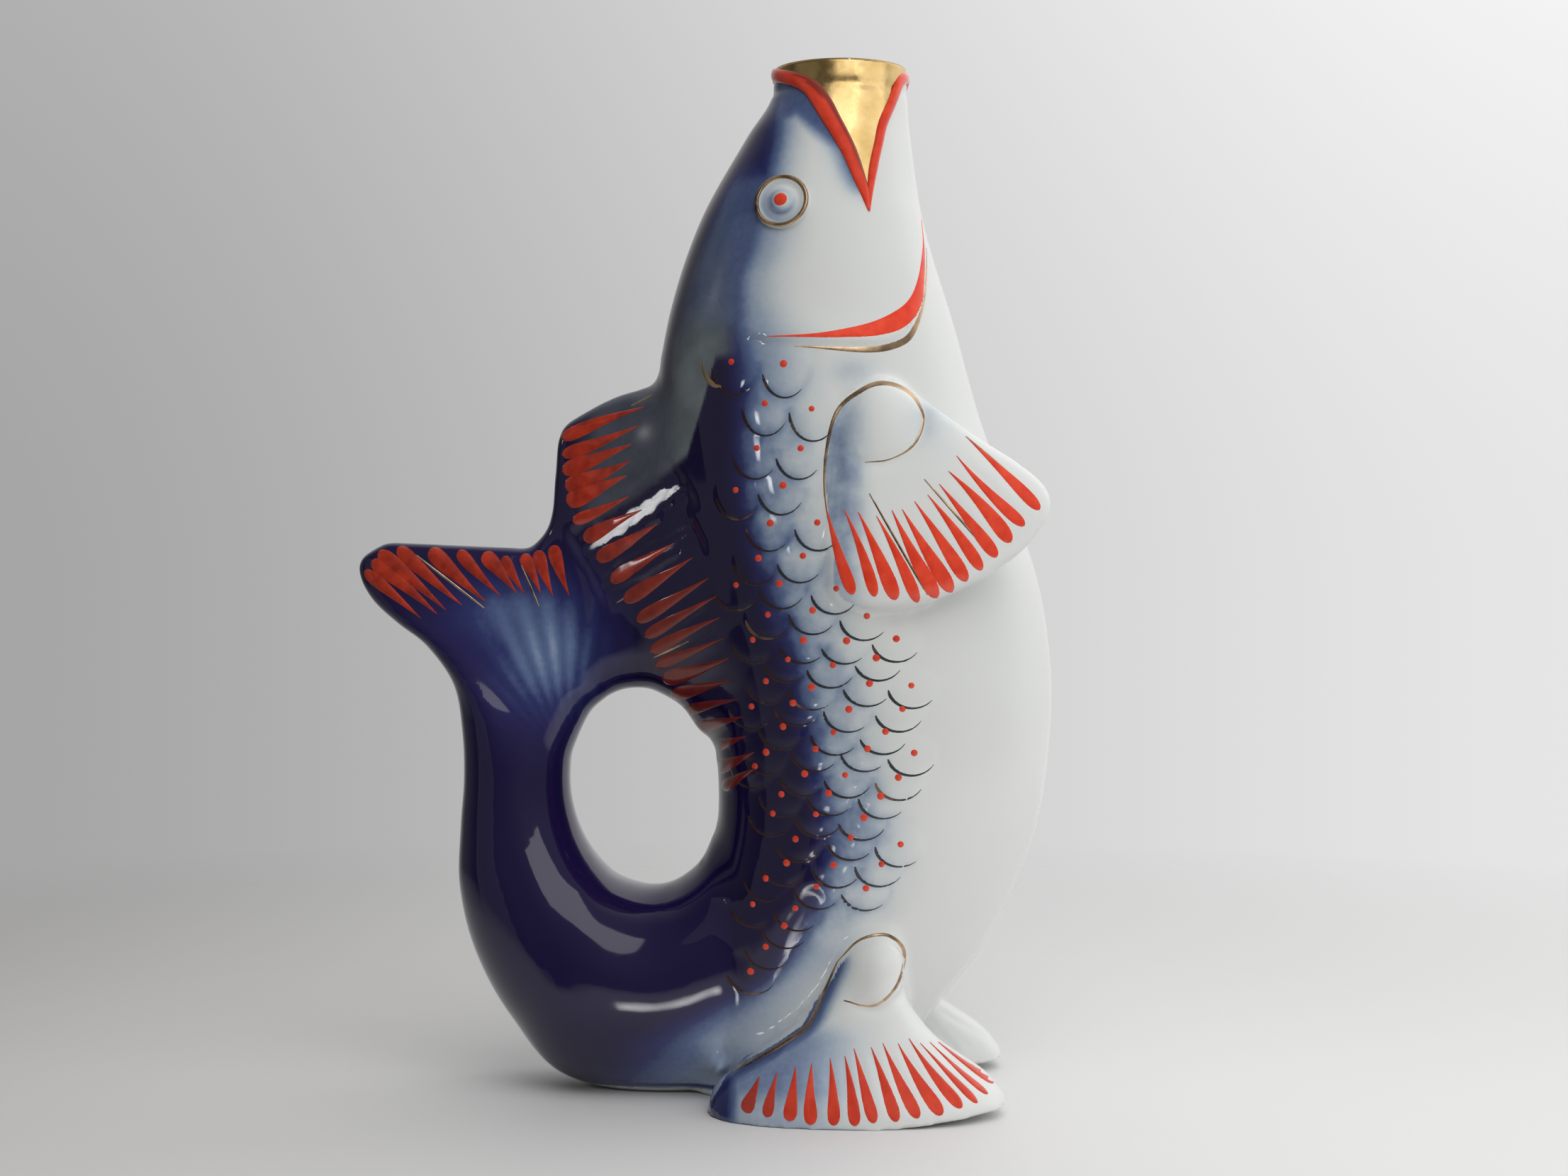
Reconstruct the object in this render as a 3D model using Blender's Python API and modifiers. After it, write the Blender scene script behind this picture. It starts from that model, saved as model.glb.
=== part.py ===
"""Fish-shaped porcelain carafe, built as the separate pieces that are luted together before firing.

Frame: +Z up, +X towards the belly, +Y towards the fish's left. The origin is on the table under the
flat base. Lengths are metres and angles are degrees.
"""

import math
from collections import namedtuple

import bmesh
import bpy
from mathutils import Matrix, Vector

# Clay thicknesses and fits
WALL = 0.004
FLOOR = 0.006
LUTE_GAP = 0.0003
OVERCUT = 0.010
MERGE_DISTANCE = 0.00001
SLOPE_STEP = 0.001

# Trunk and head: level sections from the base to the rim
Station = namedtuple("Station", "height back front half_breadth")
TRUNK = (
    Station(0.000, -0.012, 0.036, 0.021),
    Station(0.018, -0.016, 0.048, 0.027),
    Station(0.038, -0.012, 0.063, 0.032),
    Station(0.065, -0.005, 0.0745, 0.0355),
    Station(0.092, -0.006, 0.0784, 0.037),
    Station(0.131, -0.014, 0.072, 0.036),
    Station(0.166, -0.0200, 0.0612, 0.0325),
    Station(0.190, -0.0178, 0.0545, 0.0295),
    Station(0.216, -0.0096, 0.0468, 0.0255),
    Station(0.238, 0.0026, 0.0434, 0.0198),
    Station(0.247, 0.0085, 0.0427, 0.0174),
    Station(0.2545, 0.0094, 0.0424, 0.0164),
)
TRUNK_RINGS = 28
TRUNK_SEGMENTS = 36
CAVITY_RINGS = 16
CAVITY_SEGMENTS = 24

# Hole in the trunk wall behind the tail, so that the tail fills and drains
PORT_RADIUS = 0.012
PORT_HEIGHT = 0.028

# Finger loop: an oval, and the pieces round it by angle from straight down towards the tail.
# The tail's foot reaches a little below the table and is cut flat there.
LOOP_X = -0.0234
LOOP_HEIGHT = 0.075
LOOP_HALF_WIDTH = 0.0187
LOOP_HALF_HEIGHT = 0.025
LOOP_TILT = 10
TAIL_FOOT = 0.0025
Spoke = namedtuple("Spoke", "angle outer_radius loop_side outer_side")
TAIL = (
    Spoke(-58, 0.068, 0.022, 0.022),
    Spoke(-35, LOOP_HEIGHT + TAIL_FOOT, 0.025, 0.025),
    Spoke(-10, LOOP_HEIGHT + TAIL_FOOT, 0.0245, 0.0245),
    Spoke(14, LOOP_HEIGHT + TAIL_FOOT, 0.0235, 0.0235),
    Spoke(30, 0.067, 0.0205, 0.0205),
    Spoke(46, 0.059, 0.018, 0.018),
    Spoke(62, 0.052, 0.0155, 0.0155),
    Spoke(78, 0.0465, 0.0138, 0.0138),
    Spoke(92, 0.0448, 0.013, 0.013),
    Spoke(106, 0.047, 0.0125, 0.0125),
    Spoke(118, 0.055, 0.0115, 0.0115),
)
DORSAL = (
    Spoke(148, 0.066, 0.0085, 0.006),
    Spoke(157, 0.068, 0.009, 0.005),
    Spoke(161, 0.0725, 0.009, 0.0045),
    Spoke(164, 0.082, 0.0095, 0.0042),
    Spoke(166.5, 0.0915, 0.010, 0.0042),
    Spoke(170, 0.095, 0.010, 0.0045),
    Spoke(178, 0.0995, 0.011, 0.006),
    Spoke(186, 0.100, 0.012, 0.009),
    Spoke(205, 0.085, 0.013, 0.012),
    Spoke(228, 0.060, 0.0125, 0.0125),
    Spoke(246, 0.050, 0.0105, 0.0105),
    Spoke(262, 0.046, 0.008, 0.008),
)
DORSAL_TUCK = 0.006
TAIL_FIN_ANGLE = 118
FIN_MEETING_ANGLE = 156.5
ROUND_SHARE = 0.98
SPOKE_STEPS = 2
RIB_SEGMENTS = 24
TAIL_CAVITY_END = 9

# Tail fan: ribs across it from the end of the tail to its top edge
Rib = namedtuple("Rib", "inner_x inner_z outer_x outer_z inner_side outer_side")
CAUDAL = (
    Rib(-0.0372, 0.0938, -0.0790, 0.1106, 0.0100, 0.0088),
    Rib(-0.0310, 0.1010, -0.0862, 0.1160, 0.0088, 0.0074),
    Rib(-0.0335, 0.1120, -0.0925, 0.1216, 0.0074, 0.0060),
    Rib(-0.0375, 0.1230, -0.0960, 0.1276, 0.0062, 0.0050),
    Rib(-0.0415, 0.1305, -0.0958, 0.1323, 0.0050, 0.0042),
    Rib(-0.0440, 0.1335, -0.0912, 0.1356, 0.0036, 0.0032),
    Rib(-0.0455, 0.1347, -0.0885, 0.1366, 0.0016, 0.0016),
)

# Side fins: distance along the fin from the middle of its root, and the section there
Fan = namedtuple("Fan", "distance rear front bulge sink")
PECTORAL = (
    Fan(-0.0105, 0.0030, 0.0030, 0.0010, 0.0030),
    Fan(-0.0070, 0.0080, 0.0080, 0.0035, 0.0060),
    Fan(0.0000, 0.0118, 0.0118, 0.0058, 0.0080),
    Fan(0.0070, 0.0155, 0.0155, 0.0062, 0.0080),
    Fan(0.0150, 0.0200, 0.0200, 0.0064, 0.0080),
    Fan(0.0240, 0.0245, 0.0245, 0.0064, 0.0070),
    Fan(0.0320, 0.0272, 0.0272, 0.0062, 0.0060),
    Fan(0.0380, 0.0252, 0.0252, 0.0056, 0.0050),
    Fan(0.0430, 0.0175, 0.0175, 0.0048, 0.0036),
    Fan(0.0455, 0.0080, 0.0080, 0.0034, 0.0020),
)
PECTORAL_X = 0.0366
PECTORAL_HEIGHT = 0.165
PECTORAL_TURN = 25
PECTORAL_LEAN = 10
PECTORAL_ROOT_DEPTH = 0.0
PELVIC = (
    Fan(-0.0110, 0.0030, 0.0030, 0.0080, 0.0040),
    Fan(-0.0080, 0.0080, 0.0066, 0.0112, 0.0060),
    Fan(0.0000, 0.0114, 0.0072, 0.0135, 0.0060),
    Fan(0.0080, 0.0128, 0.0088, 0.0135, 0.0060),
    Fan(0.0160, 0.0175, 0.0160, 0.0140, 0.0070),
    Fan(0.0230, 0.0245, 0.0288, 0.0160, 0.0090),
    Fan(0.0290, 0.0310, 0.0345, 0.0188, 0.0110),
    Fan(0.0340, 0.0352, 0.0352, 0.0212, 0.0120),
    Fan(0.0420, 0.0365, 0.0345, 0.0220, 0.0120),
)
PELVIC_X = 0.0356
PELVIC_HEIGHT = 0.0350
PELVIC_TURN = -6
PELVIC_LEAN = 11
PELVIC_ROOT_DEPTH = 0.0077
PELVIC_TOE_X = 0.042
PELVIC_TOE_LIFT = 6
FAN_SQUARENESS = 2.4
FAN_STEPS = 2
FAN_SEGMENTS = 28

# Eye buttons: turned outline as radius and height above the head
EYE_X = 0.0130
EYE_HEIGHT = 0.218
EYE_RADIUS = 0.0064
EYE_RIM_RADIUS = 0.0054
EYE_RIM_RISE = 0.0011
EYE_DOME_RADIUS = 0.0044
EYE_GROOVE_RISE = 0.0005
EYE_DOME_RISE = 0.0016
PUPIL_RADIUS = 0.0016
PUPIL_RISE = 0.0022
EYE_ROOT = 0.0030
EYE_STEPS = 28
EYE_ARC_POINTS = 3

# Lips: a bead, part of it sunk in the head, from the corner of the mouth round the rim to the other corner
LIP_RADIUS = 0.0026
LIP_CORNER_RADIUS = 0.0012
LIP_SUNK_SHARE = 0.45
LIP_CORNER_X = 0.0323
MOUTH_DEPTH = 0.0323
UPPER_LIP_BOW = 0.0063
LOWER_LIP_BOW = 0.0020
BOW_PEAK = 4 / 27
LIP_POINTS = 12

# Colours
PORCELAIN = (0.86, 0.88, 0.87)
COBALT = (0.03, 0.03, 0.12)
RED_ENAMEL = (0.60, 0.07, 0.02)
GLAZE_ROUGHNESS = 0.12


def blend(values, places, place):
    """Smooth cubic through the values at the given places, read at one place."""
    last = len(places) - 1
    k = max(i for i in range(last) if i == 0 or places[i] <= place)
    span = places[k + 1] - places[k]

    def slope(i):
        low = max(i - 1, 0)
        high = min(i + 1, last)
        return (values[high] - values[low]) / (places[high] - places[low]) * span

    t = (place - places[k]) / span
    return (
        (2 * t**3 - 3 * t**2 + 1) * values[k]
        + (t**3 - 2 * t**2 + t) * slope(k)
        + (3 * t**2 - 2 * t**3) * values[k + 1]
        + (t**3 - t**2) * slope(k + 1)
    )


def between(rows, steps):
    """The rows with smooth extra rows between them."""
    places = range(len(rows))
    count = (len(rows) - 1) * steps
    columns = list(zip(*rows))
    return [
        type(rows[0])(*(blend(column, places, i / steps) for column in columns))
        for i in range(count + 1)
    ]


def trunk_at(height, grow=0.0):
    """Middle, half length and half breadth of the trunk at a height."""
    heights = [s.height for s in TRUNK]
    height = min(max(height, heights[0]), heights[-1])
    back, front, half_breadth = (
        blend([s[i] for s in TRUNK], heights, height) for i in (1, 2, 3)
    )
    return (back + front) / 2, (front - back) / 2 + grow, half_breadth + grow


def flank(x, height, grow=0.0):
    """Distance of the trunk's side from the middle plane."""
    middle, half_length, half_breadth = trunk_at(height, grow)
    across = min(abs(x - middle) / half_length, 1.0)
    return half_breadth * math.sqrt(1.0 - across**2)


def flank_normal(x, height):
    """Outward direction of the trunk's right side."""
    slope_x = (flank(x + SLOPE_STEP, height) - flank(x - SLOPE_STEP, height)) / (2 * SLOPE_STEP)
    slope_z = (flank(x, height + SLOPE_STEP) - flank(x, height - SLOPE_STEP)) / (2 * SLOPE_STEP)
    return Vector((-slope_x, -1.0, -slope_z)).normalized()


def loft(rings):
    """Closed solid through rings of points that all have the same count."""
    bm = bmesh.new()
    loops = []
    for ring in rings:
        verts = [bm.verts.new(point) for point in ring]
        loops.append([bm.edges.new(pair) for pair in zip(verts, verts[1:] + verts[:1])])
    for low, high in zip(loops, loops[1:]):
        bmesh.ops.bridge_loops(bm, edges=low + high)
    bmesh.ops.holes_fill(bm, edges=loops[0] + loops[-1])
    bmesh.ops.recalc_face_normals(bm, faces=bm.faces)
    return bm


def trim(bm, point, keep):
    """Cut the solid by a plane, keep the side that the direction points to, and close the cut."""
    bmesh.ops.bisect_plane(
        bm,
        geom=bm.verts[:] + bm.edges[:] + bm.faces[:],
        plane_co=point,
        plane_no=keep,
        clear_inner=True,
    )
    bmesh.ops.holes_fill(bm, edges=[e for e in bm.edges if e.is_boundary])
    bmesh.ops.recalc_face_normals(bm, faces=bm.faces)
    return bm


def place(name, bm, collection, material=None):
    """Put a finished shape in the scene as an object."""
    mesh = bpy.data.meshes.new(name)
    bm.to_mesh(mesh)
    bm.free()
    obj = bpy.data.objects.new(name, mesh)
    collection.objects.link(obj)
    if material:
        mesh.materials.append(material)
    else:
        obj.hide_render = True
        obj.display_type = "WIRE"
    return obj


def cut(obj, *cutters):
    """Take the cutters away from the object."""
    for cutter in cutters:
        modifier = obj.modifiers.new("cut_" + cutter.name, "BOOLEAN")
        modifier.operation = "DIFFERENCE"
        modifier.solver = "EXACT"
        modifier.object = cutter


def glaze(name, colour):
    """Glossy material of one colour."""
    material = bpy.data.materials.new(name)
    material.use_nodes = True
    shader = material.node_tree.nodes["Principled BSDF"]
    shader.inputs["Base Color"].default_value = (*colour, 1.0)
    shader.inputs["Roughness"].default_value = GLAZE_ROUGHNESS
    shader.inputs["Metallic"].default_value = 0.0
    return material


def oval(height, grow, segments):
    """Level ring of the trunk at a height."""
    middle, half_length, half_breadth = trunk_at(height, grow)
    turns = [2 * math.pi * i / segments for i in range(segments)]
    return [
        Vector((middle + half_length * math.cos(t), half_breadth * math.sin(t), height))
        for t in turns
    ]


def trunk_solid(grow, bottom, top, rings=TRUNK_RINGS, segments=TRUNK_SEGMENTS):
    """The trunk as a solid between two heights, grown or shrunk sideways."""
    heights = [bottom + (top - bottom) * i / rings for i in range(rings + 1)]
    return loft([oval(height, grow, segments) for height in heights])


def loop_radius(angle):
    """Distance from the middle of the finger loop to its edge."""
    a = math.radians(angle + LOOP_TILT)
    across = math.sin(a) / LOOP_HALF_WIDTH
    up = math.cos(a) / LOOP_HALF_HEIGHT
    return 1.0 / math.hypot(across, up)


def loop_point(angle, radius):
    """Point in the middle plane, by angle and distance from the middle of the finger loop."""
    a = math.radians(angle)
    return Vector((LOOP_X - radius * math.sin(a), 0.0, LOOP_HEIGHT - radius * math.cos(a)))


def loop_trim(angle, gap, after):
    """Point and direction of a cut along a spoke of the finger loop."""
    a = math.radians(angle)
    onward = Vector((-math.cos(a), 0.0, math.sin(a)))
    keep = onward if after else -onward
    return loop_point(angle, 0.0) + keep * gap, keep


def spoke_rib(spoke, tuck=0.0):
    """The rib that a spoke makes from the loop's edge to its outer end."""
    inner = loop_point(spoke.angle, loop_radius(spoke.angle) + tuck)
    outer = loop_point(spoke.angle, spoke.outer_radius)
    return Rib(inner.x, inner.z, outer.x, outer.z, spoke.loop_side, spoke.outer_side)


def rib_ring(rib, grow):
    """Ring round a rib: a half circle at each end with straight sides between."""
    inner = Vector((rib.inner_x, 0.0, rib.inner_z))
    outer = Vector((rib.outer_x, 0.0, rib.outer_z))
    along = (outer - inner).normalized()
    most = ROUND_SHARE * (outer - inner).length / 2
    inner_side = min(rib.inner_side, most) + grow
    outer_side = min(rib.outer_side, most) + grow
    inner_middle = inner + along * (inner_side - grow)
    outer_middle = outer - along * (outer_side - grow)
    apart = max((outer_middle - inner_middle).length, LUTE_GAP)
    spread = math.acos(max(-1.0, min(1.0, (inner_side - outer_side) / apart)))
    half_ring = RIB_SEGMENTS // 2
    ring = []
    for i in range(RIB_SEGMENTS):
        share = (i % half_ring) / (half_ring - 1)
        if i < half_ring:
            t = spread * (2 * share - 1)
            middle, side = outer_middle, outer_side
        else:
            t = spread + 2 * (math.pi - spread) * share
            middle, side = inner_middle, inner_side
        ring.append(middle + along * side * math.cos(t) + Vector((0, side * math.sin(t), 0)))
    return ring


def rib_solid(ribs, grow=0.0):
    """Solid through ribs, grown or shrunk all round."""
    return loft([rib_ring(rib, grow) for rib in between(ribs, SPOKE_STEPS)])


def fan_fin(sections, x, height, turn, lean, root_depth):
    """Side fin of the right flank, with its root on the trunk at the given place."""
    a = math.radians(turn)
    b = math.radians(lean)
    down = Vector((math.sin(a) * math.cos(b), -math.sin(b), -math.cos(a) * math.cos(b)))
    outward = Vector((math.sin(a) * math.sin(b), math.cos(b), -math.cos(a) * math.sin(b))) * -1
    rearward = down.cross(outward)
    root = Vector((x, root_depth - flank(x, height), height))
    power = 2.0 / FAN_SQUARENESS
    rings = []
    for fan in between(sections, FAN_STEPS):
        ring = []
        for i in range(FAN_SEGMENTS):
            t = 2 * math.pi * i / FAN_SEGMENTS
            wide = math.copysign(abs(math.cos(t)) ** power, math.cos(t))
            high = math.copysign(abs(math.sin(t)) ** power, math.sin(t))
            reach = fan.rear if wide > 0 else fan.front
            rise = fan.bulge if high > 0 else fan.sink
            ring.append(root + down * fan.distance + rearward * reach * wide + outward * rise * high)
        rings.append(ring)
    return loft(rings)


def arc(start, end):
    """Points of a quarter oval that leaves its start level and drops to its end."""
    turns = [math.pi / 2 * i / EYE_ARC_POINTS for i in range(EYE_ARC_POINTS + 1)]
    return [
        (
            start[0] + (end[0] - start[0]) * math.sin(t),
            end[1] + (start[1] - end[1]) * math.cos(t),
        )
        for t in turns
    ]


def eye_button(name, collection, material):
    """Turned button of the right eye, standing on the head."""
    outline = arc((0.0, PUPIL_RISE), (PUPIL_RADIUS, EYE_DOME_RISE))
    outline += arc((PUPIL_RADIUS, EYE_DOME_RISE), (EYE_DOME_RADIUS, EYE_GROOVE_RISE))[1:]
    outline += arc((EYE_RIM_RADIUS, EYE_RIM_RISE), (EYE_RADIUS, 0.0))
    outline += [(EYE_RADIUS, -EYE_ROOT), (0.0, -EYE_ROOT)]
    bm = bmesh.new()
    verts = [bm.verts.new((radius, 0.0, rise)) for radius, rise in outline]
    for pair in zip(verts, verts[1:]):
        bm.edges.new(pair)
    eye = place(name, bm, collection, material)
    turned = eye.modifiers.new("turned", "SCREW")
    turned.steps = turned.render_steps = EYE_STEPS
    turned.use_merge_vertices = True
    turned.merge_threshold = MERGE_DISTANCE
    turned.use_normal_calculate = True
    seat = Vector((EYE_X, -flank(EYE_X, EYE_HEIGHT), EYE_HEIGHT))
    facing = flank_normal(EYE_X, EYE_HEIGHT).to_track_quat("Z", "Y")
    eye.location = seat
    eye.rotation_mode = "QUATERNION"
    eye.rotation_quaternion = facing
    return eye


def lip_top(upper):
    """Point where a lip crosses the middle plane, level with the rim."""
    height = TRUNK[-1].height - LIP_RADIUS
    middle, half_length, half_breadth = trunk_at(height, -LIP_RADIUS * LIP_SUNK_SHARE)
    return Vector((middle - half_length if upper else middle + half_length, 0.0, height))


def lip_side(upper):
    """Points and radii of a lip from the right corner of the mouth up to the rim, without the top."""
    top = lip_top(upper)
    corner = Vector((LIP_CORNER_X, TRUNK[-1].height - MOUTH_DEPTH))
    run = Vector((top.x, top.z)) - corner
    bow = (UPPER_LIP_BOW if upper else -LOWER_LIP_BOW) * Vector((run.y, -run.x)).normalized()
    side = []
    for i in range(LIP_POINTS):
        share = math.sin(math.pi / 2 * i / LIP_POINTS)
        x, height = corner + run * share + bow * share**2 * (1 - share) / BOW_PEAK
        radius = LIP_CORNER_RADIUS + (LIP_RADIUS - LIP_CORNER_RADIUS) * share
        y = -flank(x, height, -radius * LIP_SUNK_SHARE)
        side.append((Vector((x, y, height)), radius))
    return side


def lip_path(upper):
    """Points and radii of a lip from one corner round the rim to the other; the lower starts clear of the upper."""
    side = lip_side(upper)
    if not upper:
        over = lip_side(True)
        side = [(p, r) for p, r in side if all((p - q).length > r + s + LUTE_GAP for q, s in over)]
    far_side = [(Vector((p.x, -p.y, p.z)), r) for p, r in reversed(side)]
    return side + [(lip_top(upper), LIP_RADIUS)] + far_side


def bead(name, path, collection, material=None, grow=0.0):
    """Round bead along a path of points and radii, as a mesh."""
    curve = bpy.data.curves.new(name + "_path", "CURVE")
    curve.dimensions = "3D"
    curve.bevel_depth = 1.0
    curve.bevel_resolution = 2
    curve.use_fill_caps = True
    spline = curve.splines.new("POLY")
    spline.points.add(len(path) - 1)
    for target, (point, radius) in zip(spline.points, path):
        target.co = (*point, 1.0)
        target.radius = radius + grow
    line = bpy.data.objects.new(name + "_path", curve)
    mesh = bpy.data.meshes.new_from_object(line)
    bpy.data.objects.remove(line)
    bm = bmesh.new()
    bm.from_mesh(mesh)
    bmesh.ops.remove_doubles(bm, verts=bm.verts, dist=MERGE_DISTANCE)
    bmesh.ops.recalc_face_normals(bm, faces=bm.faces)
    bpy.data.meshes.remove(mesh)
    return place(name, bm, collection, material)


def mirrored(bm):
    """The same shape on the other side of the middle plane."""
    copy = bm.copy()
    bmesh.ops.transform(copy, matrix=Matrix.Scale(-1.0, 4, (0, 1, 0)), verts=copy.verts)
    bmesh.ops.reverse_faces(copy, faces=copy.faces)
    return copy


def both_sides(name, bm, collection, material, *cutters):
    """A right piece and its left twin, both cut to seat on the body."""
    twin = mirrored(bm)
    cut(place(name + "_right", bm, collection, material), *cutters)
    cut(place(name + "_left", twin, collection, material), *cutters)


for old in list(bpy.data.objects):
    bpy.data.objects.remove(old)
carafe = bpy.data.collections.new("fish_carafe")
tools = bpy.data.collections.new("cutters")
for group in (carafe, tools):
    bpy.context.scene.collection.children.link(group)
white = glaze("porcelain", PORCELAIN)
blue = glaze("cobalt", COBALT)
red = glaze("red_enamel", RED_ENAMEL)
rim_height = TRUNK[-1].height

# Cutters that give each joint its gap
body_fit = place(
    "body_fit", trunk_solid(LUTE_GAP, TRUNK[0].height - OVERCUT, rim_height + OVERCUT), tools
)
tail_ribs = [spoke_rib(spoke) for spoke in TAIL]
tail_fit = place("tail_fit", rib_solid(tail_ribs, LUTE_GAP), tools)
inside = trunk_solid(-WALL, FLOOR, rim_height + OVERCUT, CAVITY_RINGS, CAVITY_SEGMENTS)
body_cavity = place("body_cavity", inside, tools)
hollow = trim(rib_solid(tail_ribs[: TAIL_CAVITY_END + 1], -WALL), Vector((0, 0, FLOOR)), Vector((0, 0, 1)))
tail_cavity = place("tail_cavity", hollow, tools)
port = bmesh.new()
bmesh.ops.create_cone(
    port,
    cap_ends=True,
    segments=RIB_SEGMENTS,
    radius1=PORT_RADIUS,
    radius2=PORT_RADIUS,
    depth=TRUNK[0].front - TRUNK[0].back,
    matrix=Matrix.Translation((TRUNK[0].back, 0, PORT_HEIGHT)) @ Matrix.Rotation(math.pi / 2, 4, "Y"),
)
tail_port = place("tail_port", port, tools)

# Body, and the tail that joins it
body = place("body_casting", trunk_solid(0.0, TRUNK[0].height, rim_height), carafe, white)
cut(body, body_cavity, tail_port)
table = (Vector((0, 0, 0)), Vector((0, 0, 1)))
tail_and_fan = tail_ribs + list(CAUDAL)
tail = trim(rib_solid(tail_and_fan), *table)
trim(tail, *loop_trim(TAIL_FIN_ANGLE, 0.0, False))
cut(place("tail_casting", tail, carafe, blue), body_fit, tail_cavity)
fan = trim(rib_solid(tail_and_fan), *loop_trim(TAIL_FIN_ANGLE, LUTE_GAP, True))
trim(fan, *loop_trim(FIN_MEETING_ANGLE, 0.0, False))
place("caudal_fin", fan, carafe, blue)
dorsal_ribs = [spoke_rib(spoke) for spoke in DORSAL[:-2]]
dorsal_ribs += [spoke_rib(spoke, DORSAL_TUCK) for spoke in DORSAL[-2:]]
dorsal = trim(rib_solid(dorsal_ribs), *loop_trim(FIN_MEETING_ANGLE, LUTE_GAP, True))
cut(place("dorsal_fin", dorsal, carafe, blue), body_fit)

# Paired fins
pectoral = fan_fin(
    PECTORAL, PECTORAL_X, PECTORAL_HEIGHT, PECTORAL_TURN, PECTORAL_LEAN, PECTORAL_ROOT_DEPTH
)
both_sides("pectoral_fin", pectoral, carafe, white, body_fit)
pelvic = fan_fin(PELVIC, PELVIC_X, PELVIC_HEIGHT, PELVIC_TURN, PELVIC_LEAN, PELVIC_ROOT_DEPTH)
lift = math.radians(PELVIC_TOE_LIFT)
trim(pelvic, *table)
trim(pelvic, Vector((PELVIC_TOE_X, 0, 0)), Vector((-math.sin(lift), 0, math.cos(lift))))
both_sides("pelvic_fin", pelvic, carafe, white, body_fit, tail_fit)

# Eyes and lips
eye_right = eye_button("eye_right", carafe, white)
eye_left = eye_button("eye_left", carafe, white)
eye_left.location.y = -eye_right.location.y
facing = flank_normal(EYE_X, EYE_HEIGHT)
facing.y = -facing.y
eye_left.rotation_quaternion = facing.to_track_quat("Z", "Y")
upper_lip = bead("upper_lip", lip_path(True), carafe, red)
lower_lip = bead("lower_lip", lip_path(False), carafe, red)
lip_fit = bead("lip_fit", lip_path(True), tools, grow=LUTE_GAP)
cut(eye_right, body_fit, lip_fit)
cut(eye_left, body_fit, lip_fit)
cut(upper_lip, body_fit)
cut(lower_lip, body_fit)
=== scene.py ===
"""Dresses the fish carafe for its picture: glazed skin, painted marks, gold mouth, light and camera.

Frame as in the part: +Z up, +X towards the belly, the camera on the -Y side. Shapes are worked out in
millimetres and become metres when a mesh is made. Angles are degrees.
"""

import math
from collections import namedtuple

import bmesh
import bpy
import numpy as np
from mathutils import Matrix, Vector
from mathutils.bvhtree import BVHTree


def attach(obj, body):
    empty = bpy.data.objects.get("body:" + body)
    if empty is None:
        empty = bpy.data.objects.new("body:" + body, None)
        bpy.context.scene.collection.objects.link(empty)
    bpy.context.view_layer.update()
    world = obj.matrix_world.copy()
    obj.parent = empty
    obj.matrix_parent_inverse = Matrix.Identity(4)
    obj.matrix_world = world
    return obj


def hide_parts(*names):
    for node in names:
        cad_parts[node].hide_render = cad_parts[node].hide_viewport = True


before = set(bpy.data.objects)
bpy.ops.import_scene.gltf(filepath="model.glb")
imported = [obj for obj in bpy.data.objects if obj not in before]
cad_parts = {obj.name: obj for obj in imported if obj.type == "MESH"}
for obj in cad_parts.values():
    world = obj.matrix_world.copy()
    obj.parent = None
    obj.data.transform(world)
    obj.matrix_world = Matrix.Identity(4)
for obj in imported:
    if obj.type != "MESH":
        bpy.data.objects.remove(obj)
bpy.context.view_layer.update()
rng = np.random.default_rng(11)

MM = 0.001
NEAR = -1
FAR = 1
SIDES = (NEAR, FAR)
# How far out a search for the skin starts, from the side and square to the trunk
SIDE_SEARCH = 200
TRUNK_SEARCH = 20

# Trunk: height, back, front, half breadth
TRUNK = np.array(
    (
        (0, -12, 36, 21), (18, -16, 48, 27), (38, -12, 63, 32), (65, -5, 74.5, 35.5),
        (92, -6, 78.4, 37), (111, -9.8, 77.9, 36.8), (131, -14, 74, 36), (166, -20, 61.2, 32.5),
        (190, -17.8, 54.5, 29.5), (216, -9.6, 46.8, 25.5), (238, 2.6, 43.4, 19.8),
        (247, 8.5, 42.7, 17.4), (254.5, 9.4, 42.4, 16.4),
    )
)
RIM = TRUNK[-1, 0]
FLOOR = 6
WALL = 4
RIM_WALL = 2.4
RIM_FLARE = 9
RIM_SPARE = 4
# Share of the trunk's half sizes within which a point is on the inside wall
INSIDE_SHARE = 0.93

# Finger loop and the ribs round it: angle from straight down, outer radius, half thickness at both ends
LOOP = (-23.4, 75)
LOOP_HALF = (18.7, 25)
LOOP_TILT = 10
TAIL = (
    (-58, 68, 22, 22), (-35, 77.5, 25, 25), (-10, 77.5, 24.5, 24.5), (14, 75.4, 23.5, 23.5),
    (30, 67, 20.5, 20.5), (46, 59.6, 18, 18), (62, 53.2, 15.5, 15.5), (78, 47.8, 13.8, 13.8),
    (92, 46, 13, 13), (106, 48.2, 12.5, 12.5), (118, 55, 11.5, 11.5),
)
DORSAL = (
    (148, 66, 8.5, 6), (157, 68, 9, 5), (161, 72.5, 9, 4.5), (164, 82, 9.5, 4.2),
    (166.5, 91.5, 10, 4.2), (170, 95, 10, 4.5), (178, 99.5, 11, 6), (186, 100, 12, 9),
    (205, 85, 13, 12), (228, 60, 12.5, 12.5), (246, 50, 10.5, 10.5), (262, 46, 8, 8),
)
DORSAL_TUCK = 6
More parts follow.
